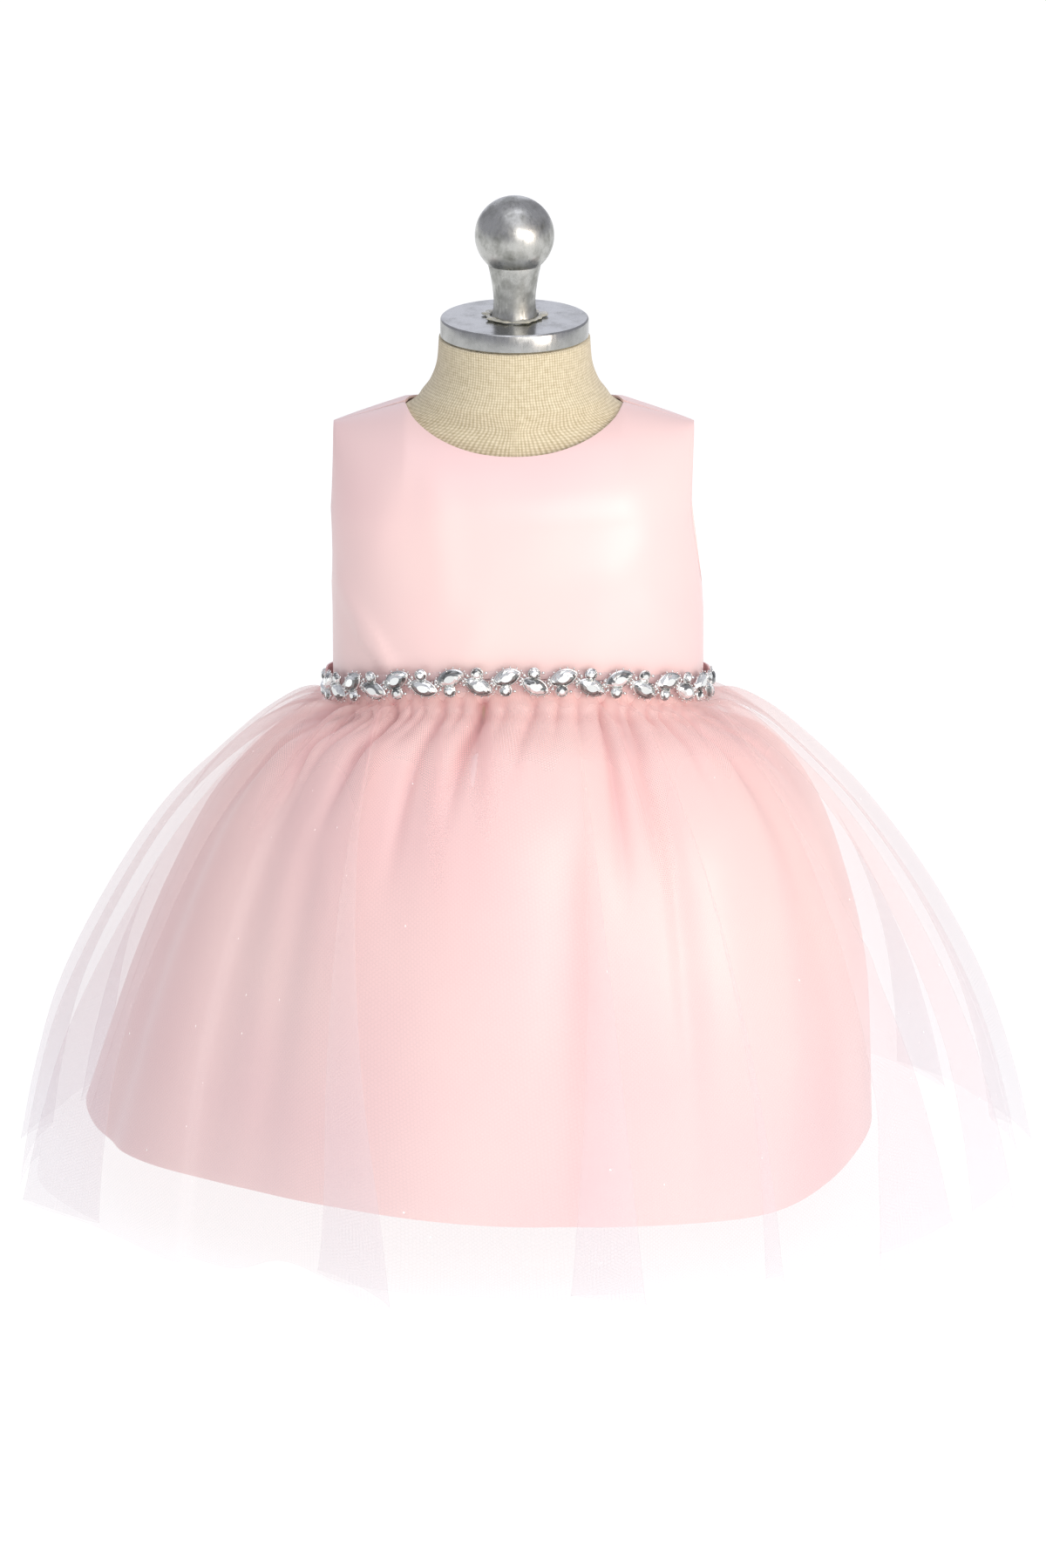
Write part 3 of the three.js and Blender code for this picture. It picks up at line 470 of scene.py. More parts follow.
# Valleys of the front's gathers, shared by both skirts: angle at the waist and where the valley dies, how
# far down that is, and its depth and width
frontGathers = rowsOf("at to ends depth width", [
    (-87, -86, 0.35, 2.2, 1.8),
    (-80, -77, 0.5, 3.0, 2.0),
    (-73, -68, 0.32, 2.0, 1.5),
    (-66, -54, 0.52, 3.6, 1.8),
    (-59, -55, 0.3, 2.0, 1.3),
    (-52, -48, 0.42, 2.6, 1.6),
    (-46, -44, 0.28, 1.8, 1.2),
    (-39, -36, 0.52, 3.8, 1.7),
    (-32, -31, 0.28, 1.8, 1.2),
    (-27, -26, 0.34, 1.5, 1.3),
    (-20, -18, 0.62, 2.4, 1.5),
    (-14, -14, 0.27, 1.8, 1.1),
    (-7.5, -8.5, 0.5, 4.4, 1.5),
    (-2.5, -2.5, 0.3, 1.4, 1.1),
    (3.5, 2, 0.42, 2.0, 1.2),
    (9, 9, 0.3, 1.8, 1.1),
    (14.5, 15, 0.34, 1.6, 1.3),
    (22, 23.5, 0.62, 2.8, 1.3),
    (28, 28, 0.28, 1.4, 1.2),
    (34, 30, 0.52, 2.2, 1.5),
    (41, 40, 0.3, 2.0, 1.4),
    (48, 45, 0.44, 2.2, 1.7),
    (56, 54, 0.3, 2.0, 1.5),
    (63, 59, 0.5, 2.6, 1.8),
    (71, 70, 0.3, 2.0, 1.6),
    (79, 76, 0.46, 2.6, 1.9),
    (87, 86, 0.35, 2.4, 1.8),
])
# Behind, the same kind of gathers run the other way round
gathers = frontGathers + [{**row, "at": 183 - row["at"], "to": 183 - row["to"]} for row in frontGathers]


def between(a, b):
    return (a - b + 180) % 360 - 180


gathersNear = [[row for row in gathers if abs(between(d, row["at"])) < 20] for d in range(360)]


# Depth of the gathers at an angle and a share of the way down
def gatherDepth(degrees, share):
    depth = 0.0
    for row in gathersNear[int(degrees) % 360]:
        if share < row["ends"] + 0.12:
            away = between(degrees, mix(row["at"], row["to"], clamp01(share / row["ends"])))
            fade = smooth(row["ends"] + 0.12, row["ends"] - 0.16, share)
            width = row["width"] * (0.75 + share)
            depth += row["depth"] * (1.5 * bell(away, width) + 0.6 * bell(away, 2.8 * width)) * fade
    return depth


tulleHem = {"centreX": 5, "halfWidth": 241, "front": 211, "back": 211, "z": 13}
tulleOut = 1.9
tulleProfile = rowsOf("drop left right", [
    (0.0, 0.0, 0.0),
    (0.028, 0.003, 0.003),
    (0.036, 0.07, 0.07),
    (0.053, 0.16, 0.155),
    (0.12, 0.3, 0.28),
    (0.265, 0.515, 0.49),
    (0.46, 0.715, 0.7),
    (0.665, 0.875, 0.86),
    (0.845, 0.955, 0.95),
    (1.0, 1.0, 1.0),
])
# turn is 1 where the cloth on the left lies on top; tip is how far the outer edge dips below the hem
tulleFolds = rowsOf("waistAt hemAt overlap lift turn tip", [
    (-83, -83, 6, 6, 1, 6),
    (-66, -66.5, 10, 8, -1, 7),
    (-49, -41, 3, 5, 1, 1),
    (-35, -18.5, 8, 8, 1, 19),
    (13, 10.5, 7, 7, 1, 4),
    (31, 30, 3, 5, 1, 1),
    (57, 52, 12, 9, -1, 6),
    (77, 69, 6, 6, 1, 8),
    (103, 102, 8, 7, -1, 5),
    (124, 126, 10, 8, 1, 7),
    (144, 147, 4, 6, 1, 1),
    (163, 166, 8, 7, -1, 6),
    (184, 185, 4, 6, 1, 1),
    (205, 204, 9, 8, 1, 7),
    (223, 224, 4, 6, -1, 2),
    (241, 243, 9, 8, -1, 6),
    (260, 262, 5, 6, 1, 4),
])
sidePuff = {"at": 0.22, "width": 0.075, "rise": 3}
hemNotch = {"at": -24, "width": 8, "rise": 12}
foldColumns = 10
foldWidth = 1.5
frontFolds = 8
tullePiece = {"perColumn": 5, "up": 72, "cut": (0.98, 0.26), "gathersFrom": 0.03}
tulleCreases = rowsOf("from to width depth", [
    ((-49, 0.47), (-29, 0.59), 1.3, -1.8),
    ((23, 0.5), (21, 0.76), 1.4, 2.2),
    ((72, 0.5), (51, 0.74), 1.6, -1.8),
    ((51, 0.72), (41, 0.88), 1.6, -1.8),
    ((0, 0.3), (0, 0.66), 1.2, -1.0),
    ((132, 0.45), (150, 0.7), 1.5, -1.8),
    ((208, 0.4), (214, 0.75), 1.5, 2.0),
    ((248, 0.5), (232, 0.7), 1.5, -1.6),
])


def skirtPoint(hem, profile, waistOut, angle, share):
    drop = alongTable(profile, "drop", share)
    toRight = (1 + math.sin(angle)) / 2
    reach = mix(alongTable(profile, "left", share), alongTable(profile, "right", share), toRight)
    topZ = waistHeight(angle) - waistSeamHalf
    top = bodyPoint(angle, topZ, waistOut)
    ahead = math.cos(angle)
    hemX = hem["centreX"] + hem["halfWidth"] * math.sin(angle)
    hemY = -(hem["front"] if ahead > 0 else hem["back"]) * ahead
    return Vector((mix(top.x, hemX, reach), mix(top.y, hemY, reach), mix(topZ, hem["z"], drop)))


def skirtNormal(hem, profile, waistOut, angle, share):
    step = 0.02
    up = skirtPoint(hem, profile, waistOut, angle, max(0, share - step))
    down = skirtPoint(hem, profile, waistOut, angle, min(1, share + step))
    before = skirtPoint(hem, profile, waistOut, angle - step, share)
    after = skirtPoint(hem, profile, waistOut, angle + step, share)
    return (after - before).cross(up - down).normalized()


# Depth of the creases at an angle in degrees and a share of the way down
def skirtCreases(creases, degrees, share):
    out = 0.0
    for crease in creases:
        (a0, s0), (a1, s1) = crease["from"], crease["to"]
        along = clamp01((share - s0) / (s1 - s0))
        away = between(degrees, mix(a0, a1, along))
        fade = smooth(s0 - 0.06, s0 + 0.1, share)
        fade *= 1 if s1 >= 1 else smooth(s1 + 0.15, s1 - 0.08, share)
        out += crease["depth"] * bell(away, crease["width"]) * fade
    return out


def satinPoint(angle, share):
    degrees = angle / radians
    creases = gatherDepth(degrees, share) + skirtCreases(satinCreases, degrees, share)
    turn = satinWave["hemWaves"] * angle + satinWave["phase"]
    wave = satinWave["hemHeight"] * math.cos(turn) * share ** 1.3
    sway = math.cos(2 * (angle - satinSway["at"] * radians)) * share ** 1.5
    p = skirtPoint(satinHem, satinProfile, 0, angle, share)
    n = skirtNormal(satinHem, satinProfile, 0, angle, share)
    held = smooth(0.07, 0.17, share)
    p += n * (smooth(0.1, 0.26, share) * wave - held * creases + satinSway["out"] * sway)
    p.z -= satinSway["down"] * sway
    return p


# Angle at a column of the tulle, eased from fold to fold
def foldAngle(column, key):
    place = column / foldColumns - 0.5
    i = math.floor(place)
    t = place - i
    count = len(tulleFolds)
    at = lambda k: tulleFolds[k % count][key] + 360 * (k // count)
    a, b = at(i), at(i + 1)
    before = min(a - at(i - 1), b - a)
    after = min(b - a, at(i + 2) - b)
    h = smooth(0, 1, t)
    return a + (b - a) * h + before * t * (1 - t) ** 2 - after * t * t * (1 - t)


# The cloth doubles back over itself at each fold, in three layers, and lifts clear of them
def tullePoint(column, share):
    plain = mix(foldAngle(column, "waistAt"), foldAngle(column, "hemAt"), smooth(0.1, 1, share))
    nearest = math.floor(column / foldColumns)
    carried = raised = dipped = 0.0
    for k in (nearest - 1, nearest, nearest + 1):
        fold = tulleFolds[k % len(tulleFolds)]
        away = (column - (k + 0.5) * foldColumns + 0.5) / foldWidth
        turned = away * math.exp((1 - away * away) / 2)
        carried += fold["overlap"] * turned
        raised += fold["lift"] * (0.5 * math.exp(-away * away / 5) - fold["turn"] * turned)
        dipped += fold["tip"] * math.exp(-(away + fold["turn"]) ** 2)
    angle = (plain - carried * share ** 1.2) * radians
    degrees = angle / radians
    creases = gatherDepth(degrees, share) + skirtCreases(tulleCreases, degrees, share)
    springs = bell(share - sidePuff["at"], sidePuff["width"]) * math.sin(angle) ** 4
    notched = math.exp(-((plain - hemNotch["at"]) / hemNotch["width"]) ** 4)
    p = skirtPoint(tulleHem, tulleProfile, tulleOut, angle, share)
    n = skirtNormal(tulleHem, tulleProfile, tulleOut, angle, share)
    lifted = raised * mix(0.12, 1, share) * smooth(0.08, 0.3, share)
    p += n * (lifted - creases * smooth(0.035, 0.085, share))
    p.z += sidePuff["rise"] * springs + (hemNotch["rise"] * notched - dipped) * share ** 6
    return p


# How bunched the cloth is, from where its gathers start
def foldOf(degrees, share, start):
    return clamp01(gatherDepth(degrees, share) / 6) ** 1.4 * smooth(start, start + 0.05, share)


def makeSkirts():
    for side, start in (("Front", -90), ("Back", 90)):
        spare = 0.1
        degreesAt = lambda u: start + spare + (180 - 2 * spare) * u
        satinAt = lambda u, v: satinPoint(degreesAt(u) * radians, 1 - v)
        satinFold = lambda u, v: foldOf(degreesAt(u), 1 - v, satinPiece["gathersFrom"])
        across = satinPiece["across"] // 1
        bm = clothMesh(across, satinPiece["up"], satinAt, satinPiece["cut"], satinFold)
        piece = addPiece("satinSkirt" + side, bm, satin, ["satin_skirt_" + side.lower()])
        thicken(piece, satinPiece["thickness"])


def makeTulle():
    seam = frontFolds * foldColumns
    last = len(tulleFolds) * foldColumns
    for side, first, end in (("Front", 0, seam), ("Back", seam, last)):
        spare = 0.06
        columnAt = lambda u: first + spare + (end - first - 2 * spare) * u - 0.5
        tulleAt = lambda u, v: tullePoint(columnAt(u), 1 - v)
        waistAt = lambda u: foldAngle(columnAt(u), "waistAt")
        tulleFold = lambda u, v: foldOf(waistAt(u), 1 - v, tullePiece["gathersFrom"])
        dense = tullePiece["perColumn"]
        share = (end - first) / seam
        cut = (tullePiece["cut"][0] * share, tullePiece["cut"][1])
        bm = clothMesh((end - first) * dense, tullePiece["up"], tulleAt, cut, tulleFold)
        piece = addPiece("tulleSkirt" + side, bm, tulle, ["tulle_skirt_" + side.lower()])


# Bodice

armholeInset = 1.5
frontNeck = {"depth": 15.6, "power": 2.1}
backNeck = {"depth": 8.5, "power": 2.4}
neckFall = 0.86
lap = {"half": 7, "step": 2.0, "rampFrom": 34, "rampTo": 14}
bodicePiece = {"across": 96, "up": 72, "thickness": 1.2}
# Soft creases of the front: from one point to another (x and z), how wide and how deep
bodiceCreases = rowsOf("from to width depth", [
    ((-87, 314), (-70, 288), 5, -2.8),
    ((-70, 288), (-52, 268), 4.5, -3.0),
    ((-86, 292), (-70, 268), 8, 2.4),
    ((-58, 362), (-66, 334), 8, -0.6),
    ((-37, 356), (-33, 318), 9, -1.3),
    ((84, 342), (46, 326), 11, -1.1),
    ((66, 302), (80, 274), 9, -1.1),
    ((40, 300), (30, 272), 12, -0.7),
    ((-18, 300), (-24, 272), 8, -0.8),
])
# How far a crease may sink towards the form and stand off it
bodiceRelief = {"sink": 0.3, "rise": 3.0}
# Where the buttons pull the back, and how far
backPulls = {"heights": (366, 338, 309, 281), "depth": 0.25, "beside": 12}


def ridgeHeight(x):
    slope = (neckPoint["z"] - shoulderTip["z"]) / (shoulderTip["x"] - neckPoint["x"])
    return neckPoint["z"] - slope * max(0, abs(x) - neckPoint["x"])


def bodyDepth(side, across, z):
    share = clamp01(abs(across) / atHeight(bodyRows, "halfWidth", z))
    section = (1 - share ** sectionPower) ** (1 / sectionPower)
    below = clamp01((ridgeHeight(across) - z) / shoulderRound[side])
    return atHeight(bodyRows, side, z) * section * math.sqrt(1 - (1 - below) ** 2)


def panelHalfWidth(z):
    if z <= underarmZ:
        return atHeight(bodyRows, "halfWidth", z)
    up = clamp01((z - underarmZ) / (shoulderTip["z"] - underarmZ))
    seam = mix(atHeight(bodyRows, "halfWidth", underarmZ), shoulderTip["x"], up)
    return seam - armholeInset * max(0, math.sin(math.pi * up)) ** 0.8


def panelTop(neck, share):
    if share > shoulderShare:
        x = mix(neckPoint["x"], shoulderTip["x"], (share - shoulderShare) / (1 - shoulderShare))
        return x, ridgeHeight(x)
    along = share / shoulderShare
    fall = neck["depth"] * (1 - along ** neck["power"]) ** neckFall
    return neckPoint["x"] * along ** 0.96, neckPoint["z"] - fall


def creased(x, z, creases):
    out = 0.0
    for crease in creases:
        (x0, z0), (x1, z1) = crease["from"], crease["to"]
        length = math.hypot(x1 - x0, z1 - z0)
        along = ((x - x0) * (x1 - x0) + (z - z0) * (z1 - z0)) / length
        off = ((x - x0) * (z1 - z0) - (z - z0) * (x1 - x0)) / length
        past = max(0, -along, along - length)
        out += crease["depth"] * bell(off, crease["width"]) * bell(past, crease["width"] * 1.6)
    return out


def panelPoint(side, neck, share, rise, lapTo):
    facing = -1 if side == "front" else 1
    size = abs(share)
    angle = size * 90 * radians
    topX, topZ = panelTop(neck, size)
    bottomZ = waistHeight(angle if facing < 0 else math.pi - angle) + waistSeamHalf
    z = mix(bottomZ, topZ, 1 - (1 - rise) ** 1.8)
    level = math.sin(angle) ** (2 / sectionPower)
    reach = mix(level, topX / shoulderTip["x"], smooth(0, 1, 1 - (1 - rise) ** 1.8))
    across = math.copysign(panelHalfWidth(z) * reach, share) + lapTo * (1 - size) ** 4
    y = facing * (bodyDepth(side, across, z) + seamGap / 2)
    return Vector((atHeight(bodyRows, "centre", z) + across, y, z))


# Front and two lapped back halves
def makeBodice():
    def frontAt(u, v):
        p = panelPoint("front", frontNeck, 2 * u - 1, v, 0)
        hold = smooth(0, 0.06, v) * smooth(1, 0.9, v) * smooth(1, 0.94, abs(2 * u - 1))
        depth = min(bodiceRelief["sink"], creased(p.x, p.z, bodiceCreases))
        p.y += max(-bodiceRelief["rise"], depth) * hold
        return p

    def backAt(left):
        def at(u, v):
            share = mix(0, -1, u) if left else mix(1, 0, u)
            p = panelPoint("back", backNeck, share, v, lap["half"] if left else -lap["half"])
            if left:
                p.y += lap["step"] * smooth(-lap["rampFrom"], -lap["rampTo"], p.x)
            # Each button pulls the cloth a little
            beside = bell(abs(p.x) - backPulls["beside"], 14)
            pulls = sum(backPulls["depth"] * bell(p.z - z, 7) * beside for z in backPulls["heights"])
            p.y += pulls * smooth(0, 0.06, v) * smooth(1, 0.94, v)
            return p
        return at

    settings = bodicePiece
    makes = [
        ("bodiceFront", "bodice_front", frontAt, settings["across"], (0.235, 0.125)),
        ("bodiceBackLeft", "bodice_back_left", backAt(True), settings["across"] // 2, (0.125, 0.14)),
        ("bodiceBackRight", "bodice_back_right", backAt(False), settings["across"] // 2, (0.125, 0.14)),
    ]
    for name, node, pointAt, across, cut in makes:
        piece = addPiece(name, clothMesh(across, settings["up"], pointAt, cut), satin, [node])
        thicken(piece, settings["thickness"])


# Sash, trim and bow

sash = {"height": 13, "clear": 0.7, "backRise": 2, "wall": 0.9, "rounding": 0.2, "crease": 0.3}


def sashOut(angle):
    behind = smooth(-0.6, -1, math.cos(angle))
    return tulleOut + tulleHalfWall + sash["clear"] + ribbonWall / 2 + sash["backRise"] * behind


def makeSash():
    for name, start, end in (("Right", 90.4, 179.95), ("Left", 180.05, 269.6)):
        def at(u, v):
            angle = mix(start, end, u) * radians
            p = bodyPoint(angle, waistHeight(angle), sashOut(angle))
            wave = math.cos(v * 4 * math.pi + 1.5 * math.sin(angle * 3))
            wave *= sash["crease"] * smooth(-0.3, -0.9, math.cos(angle))
            p += Vector((p.x, p.y, 0)).normalized() * wave
            p.z += (v - 0.5) * sash["height"]
            return p

        cut = (0.127, 0.013)
        bm = clothMesh(60, 14, at, cut)
        piece = addPiece("sash" + name, bm, ribbonSatin, ["sash_" + name.lower()])
        thicken(piece, sash["wall"], sash["rounding"])


trim = {"wall": 1.0, "height": 10.5, "reach": 89.5, "units": 10}
bigStone = {"half": 6.8, "across": 3.6, "height": 2.8, "tilt": 22, "above": 2.2}
roundStone = {"radius": 2.9, "height": 2.3, "above": 4.2}
bead = {"radius": 0.85, "lift": 0.8}
# Shares of a stone's outline and heights, from its foot to its table, and up its metal collar
stoneCut = {"fit": 0.92, "foot": (0.9, 0.4), "girdle": (1.0, 0.9), "crown": (0.74, 0.8), "table": 0.46}
# Painted reflection: the tones of the stones' facets, bright, dark and a random spread
paintedFacetGlint = {"bright": 0.72, "dark": 0.08, "range": 0.28}
collar = [(0.9, 0.0), (1.06, 0.0), (1.06, 1.05), (0.94, 1.05)]
claw = {"radius": 0.5, "in": 0.94, "up": 1.25}
smallBead = {"radius": 0.52, "count": 14, "along": 1.17, "across": 1.2, "up": 0.45}
# Beads beside each big stone: how far along its group, and how far above or below the middle
beadSpots = [(-0.19, -3.4), (0.2, 4.0), (0.24, -1.2), (0.14, -4.6), (0.27, 1.6), (-0.27, -0.6)]


# Edges that join the vertices of the same ring
def ringEdges(bm, rings):
    return [e for ring in rings for e in bm.edges if e.verts[0] in ring and e.verts[1] in ring]


# A pointed oval or a round outline of a stone
def stoneOutline(shape, t):
    if shape == "round":
        return math.cos(t) * roundStone["radius"], math.sin(t) * roundStone["radius"]
    pointed = math.sin(t) * abs(math.sin(t)) ** 0.35 * 1.12
    return bigStone["half"] * math.cos(t), bigStone["across"] * pointed


# Angle at a share of the trim's length from its left end
def trimAngle(share):
    marks = [mix(-trim["reach"], trim["reach"], i / 360) for i in range(361)]
    points = [bodyPoint(at * radians, waistHeight(at * radians), tulleOut) for at in marks]
    lengths = [0.0]
    for a, b in zip(points, points[1:]):
        lengths.append(lengths[-1] + (b - a).length)
    wanted = share * lengths[-1]
    i = max(1, next(i for i, length in enumerate(lengths) if length >= wanted))
    return mix(marks[i - 1], marks[i], (wanted - lengths[i - 1]) / (lengths[i] - lengths[i - 1]))


def makeTrim():
    out = tulleOut + tulleHalfWall + sash["clear"] + trim["wall"] / 2
    stones = bmesh.new()
    metal = bmesh.new()
    glintTones = stones.loops.layers.float_color.new("facetGlints")
    number = 0

    def frameAt(at, up, tilt, lift):
        angle = at * radians
        foot = bodyPoint(angle, waistHeight(angle), out + trim["wall"] / 2)
        ahead = bodyPoint(angle + 0.01, waistHeight(angle + 0.01), out + trim["wall"] / 2)
        along = (ahead - foot).normalized()
        facing = along.cross(Vector((0, 0, 1))).normalized()
        upward = facing.cross(along)
        turn = Matrix((along, upward, facing)).transposed().to_4x4()
        tilted = turn @ Matrix.Rotation(tilt * radians, 4, "Z")
        spot = (foot + upward * up + facing * lift) * mm
        return Matrix.Translation(spot) @ tilted @ Matrix.Scale(mm, 4)

    def setStone(shape, at, up, tilt):
        nonlocal number
        number += 1
        place = frameAt(at, up, tilt, 0)
        sides = 12 if shape == "marquise" else 8
        height = bigStone["height"] if shape == "marquise" else roundStone["height"]
        unplaced = place.inverted()
        before = set(stones.faces)
        rings = []
        crown, crownUp = stoneCut["crown"]
        steps = [stoneCut["foot"], stoneCut["girdle"]]
        steps += [(crown, height * crownUp), (stoneCut["table"], height)]
        for scale, z in steps:
            made = bmesh.ops.create_circle(stones, cap_ends=False, segments=sides, radius=1.0)["verts"]
            for i, vert in enumerate(made):
                half = math.pi / sides if len(rings) == 2 else 0
                x, y = stoneOutline(shape, 2 * math.pi * i / sides + half)
                vert.co = place @ Vector((x * scale * stoneCut["fit"], y * scale * stoneCut["fit"], z))
            rings.append(made)
        for pair in zip(rings, rings[1:]):
            bmesh.ops.bridge_loops(stones, edges=ringEdges(stones, pair))
        bmesh.ops.contextual_create(stones, geom=ringEdges(stones, rings[-1:]))
        # Painted reflection: the table and one side of each stone are painted bright, the rest dark
        for facetNumber, face in enumerate(f for f in stones.faces if f not in before):
            middle = unplaced @ face.calc_center_median()
            onTop = middle.z > height - 0.05
            bright = onTop or (middle.y > 0) == (number % 3 != 0)
            tone = paintedFacetGlint["bright" if bright else "dark"]
            tone += paintedFacetGlint["range"] * spread(number, facetNumber)
            for loop in face.loops:
                loop[glintTones] = (tone, tone, tone, 1)
        rings = []
        for scale, z in collar:
            made = bmesh.ops.create_circle(metal, cap_ends=False, segments=sides * 2, radius=1.0)["verts"]
            for i, vert in enumerate(made):
                x, y = stoneOutline(shape, math.pi * i / sides)
                vert.co = place @ Vector((x * scale, y * scale, z))
            rings.append(made)
        for pair in zip(rings, rings[1:]):
            bmesh.ops.bridge_loops(metal, edges=ringEdges(metal, pair))
        clawsAt = (0, 3, 6, 9) if shape == "marquise" else (1, 3, 5, 7)
        for i in clawsAt:
            x, y = stoneOutline(shape, 2 * math.pi * i / sides)
            spot = place @ Matrix.Translation((x * claw["in"], y * claw["in"], claw["up"]))
            bmesh.ops.create_icosphere(metal, subdivisions=1, radius=claw["radius"], matrix=spot)
        if shape == "marquise":
            for i in range(smallBead["count"]):
                x, y = stoneOutline(shape, 2 * math.pi * (i + 0.5) / smallBead["count"])
                spot = (x * smallBead["along"], y * smallBead["across"], smallBead["up"])
                bmesh.ops.create_icosphere(metal, subdivisions=1, radius=smallBead["radius"],
                                           matrix=place @ Matrix.Translation(spot))

    for unit in range(trim["units"]):
        for half, high in ((0.3, -1), (0.8, 1)):
            share = (unit + half) / trim["units"]
            at = trimAngle(share)
            tilt = bigStone["tilt"] + 9 * (spread(unit, half) - 0.5)
            setStone("marquise", at, high * bigStone["above"], high * tilt)
            setStone("round", trimAngle(share - 0.02 / trim["units"]), -high * roundStone["above"], 0)
            for step, up in beadSpots:
                beadAt = trimAngle(clamp01(share + step / trim["units"]))
                spot = frameAt(beadAt, high * up, 0, bead["lift"])
                bmesh.ops.create_icosphere(metal, subdivisions=2, radius=bead["radius"], matrix=spot)
    bmesh.ops.recalc_face_normals(stones, faces=stones.faces)
    bmesh.ops.recalc_face_normals(metal, faces=metal.faces)
    cutStones = addPiece("beltStones", stones, crystal, ["crystal_trim"])
    cutStones.data.shade_flat()
    settings = addPiece("beltSettings", metal, silver, ["crystal_trim"])

    def stripAt(u, v):
        angle = mix(-trim["reach"], trim["reach"], u) * radians
        p = bodyPoint(angle, waistHeight(angle), out)
        p.z = waistHeight(angle) + (v - 0.5) * trim["height"]
        return p

    bm = clothMesh(120, 6, stripAt, (0.262, 0.0105))
    strip = addPiece("beltStrip", bm, tulle, ["crystal_trim"])


bow = {
    "y": 72.0, "z": 250.5, "knotHalf": 9, "knotHeight": 18, "knotDepth": 11,
    "loopReach": 78, "loopDepth": 20, "loopRise": 14, "innerHeight": 14, "outerHeight": 42,
    "tailWidth": 30, "tailSpread": 27, "tailEnd": 0.74, "tailLift": (8, 17), "tailJoin": 0.0833,
    "rounding": 0.25, "knotFit": 0.97,
}


def loopPoint(sign, u, v):
    across = v - 0.5
    turn = 2 * u - 1
    out = max(0, 1 - turn * turn) ** 0.5
    reach = mix(bow["knotHalf"] - 0.3, bow["loopReach"], out)
    height = mix(bow["innerHeight"], bow["outerHeight"], out ** 1.2)
    bulge = math.sin(math.pi * turn) * bow["loopDepth"] / 2 * (1 + 0.5 * math.cos(4 * math.pi * across))
    pinch = 0.5 * math.cos(across * 9 * math.pi + sign) * (1 - out) ** 0.6 * smooth(1, 0.9, abs(turn))
    apart = math.copysign(2.2, turn) * min(1, abs(turn) * 18)
    y = bow["y"] + apart + bulge * (1 - 0.25 * abs(across)) + pinch
    z = bow["z"] + bow["loopRise"] * out + across * height
    return Vector((sign * reach, y, z))


def tailPoint(sign, u, v):
    down = 1 - v
    share = mix(0.27, bow["tailEnd"], down)
    width = mix(11, bow["tailWidth"], smooth(0, 0.5, down))
    across = 0.5 - u
    x = sign * mix(9, bow["tailSpread"], down) + across * width
    radius = mix(88, tulleHem["halfWidth"], alongTable(tulleProfile, "left", share))
    angle = math.pi - math.asin(x / radius)
    p = skirtPoint(tulleHem, tulleProfile, 3, angle, share)
    n = skirtNormal(tulleHem, tulleProfile, 3, angle, share)
    crease = 1.2 * math.cos(2 * math.pi * across) * smooth(0, 0.3, down)
    p += n * (mix(*bow["tailLift"], down) + crease)
    joined = smooth(bow["tailJoin"], 0, down)
    start = Vector((x, bow["y"], bow["z"] - bow["knotHeight"] / 2 - 1.2))
    return p.lerp(start, joined)


def makeBow():
    for name, sign in (("Left", -1), ("Right", 1)):
        # The left loop's grid runs the other way, so that its outside still faces out
        loopAt = lambda u, v: loopPoint(sign, u if sign > 0 else 1 - u, v)
        cut = (0.165, 0.042)
        bm = clothMesh(96, 30, loopAt, cut)
        loop = addPiece("bowLoop" + name, bm, ribbonSatin, ["bow_loop_" + name.lower()])
        thicken(loop, ribbonWall, bow["rounding"])
        tailAt = lambda u, v: tailPoint(sign, u, v)
        cut = (0.031, 0.183)
        bm = clothMesh(24, 72, tailAt, cut)
        tail = addPiece("bowTail" + name, bm, ribbonSatin, ["bow_tail_" + name.lower()])
        thicken(tail, ribbonWall, bow["rounding"])

    # The knot is a short band drawn tight: barrel-shaped, with pleats that run up and down it
    def knotAt(u, v):
        turn = 2 * math.pi * u
        along = 2 * v - 1
        girth = math.sqrt(max(0, 1 - abs(along) ** 3.2))
        pinch = 1 - 0.1 * math.cos(math.pi * along) ** 2 + 0.03 * math.cos(turn * 7) * (1 - along * along)
        fit = bow["knotFit"]
        x = bow["knotHalf"] * fit * girth * pinch * math.cos(turn)
        y = bow["knotDepth"] / 2 * fit * girth * pinch * math.sin(turn)
        return Vector((x, bow["y"] + y, bow["z"] + along * bow["knotHeight"] / 2 * fit))

    bm = tubeMesh(56, 28, knotAt, (0.04, 0.022))
    knot = addPiece("bowKnot", bm, ribbonSatin, ["bow_knot"])


button = {"radius": 4.6, "height": 3.0, "count": 4, "top": 366, "bottom": 281}


# Four covered buttons, each leaning with the back where it sits
def makeButtons():
    radius, height = button["radius"], button["height"]
    profile = [(0, 0)] + [(radius * math.cos(t) ** 0.7, height * (0.12 + 0.86 * math.sin(t)))
                          for t in [math.pi / 2 * i / 10 for i in range(10)]] + [(0, height * 0.98)]
    for i in range(button["count"]):
        z = mix(button["top"], button["bottom"], i / (button["count"] - 1))
        outside = seamGap / 2 + lap["step"] + bodicePiece["thickness"] / 2
        depth = lambda at: bodyDepth("back", 0, at) + outside
        lean = math.atan2(depth(z - 4) - depth(z + 4), 8)
        bm = turnedMesh(profile, 32)
        spot = Vector((atHeight(bodyRows, "centre", z), depth(z) + seamGap / math.cos(lean), z))
        turn = Matrix.Rotation(lean, 4, "X") @ Matrix.Rotation(-math.pi / 2, 4, "X")
        bmesh.ops.transform(bm, matrix=Matrix.Translation(spot * mm) @ turn, verts=bm.verts)
        flat = bm.loops.layers.uv.new("flat")
        for face in bm.faces:
            for loop in face.loops:
                loop[flat].uv = (loop.vert.co.x, loop.vert.co.z)
        piece = addPiece("button" + str(i + 1), bm, ribbonSatin, ["button_" + str(i + 1)])


# Dress form

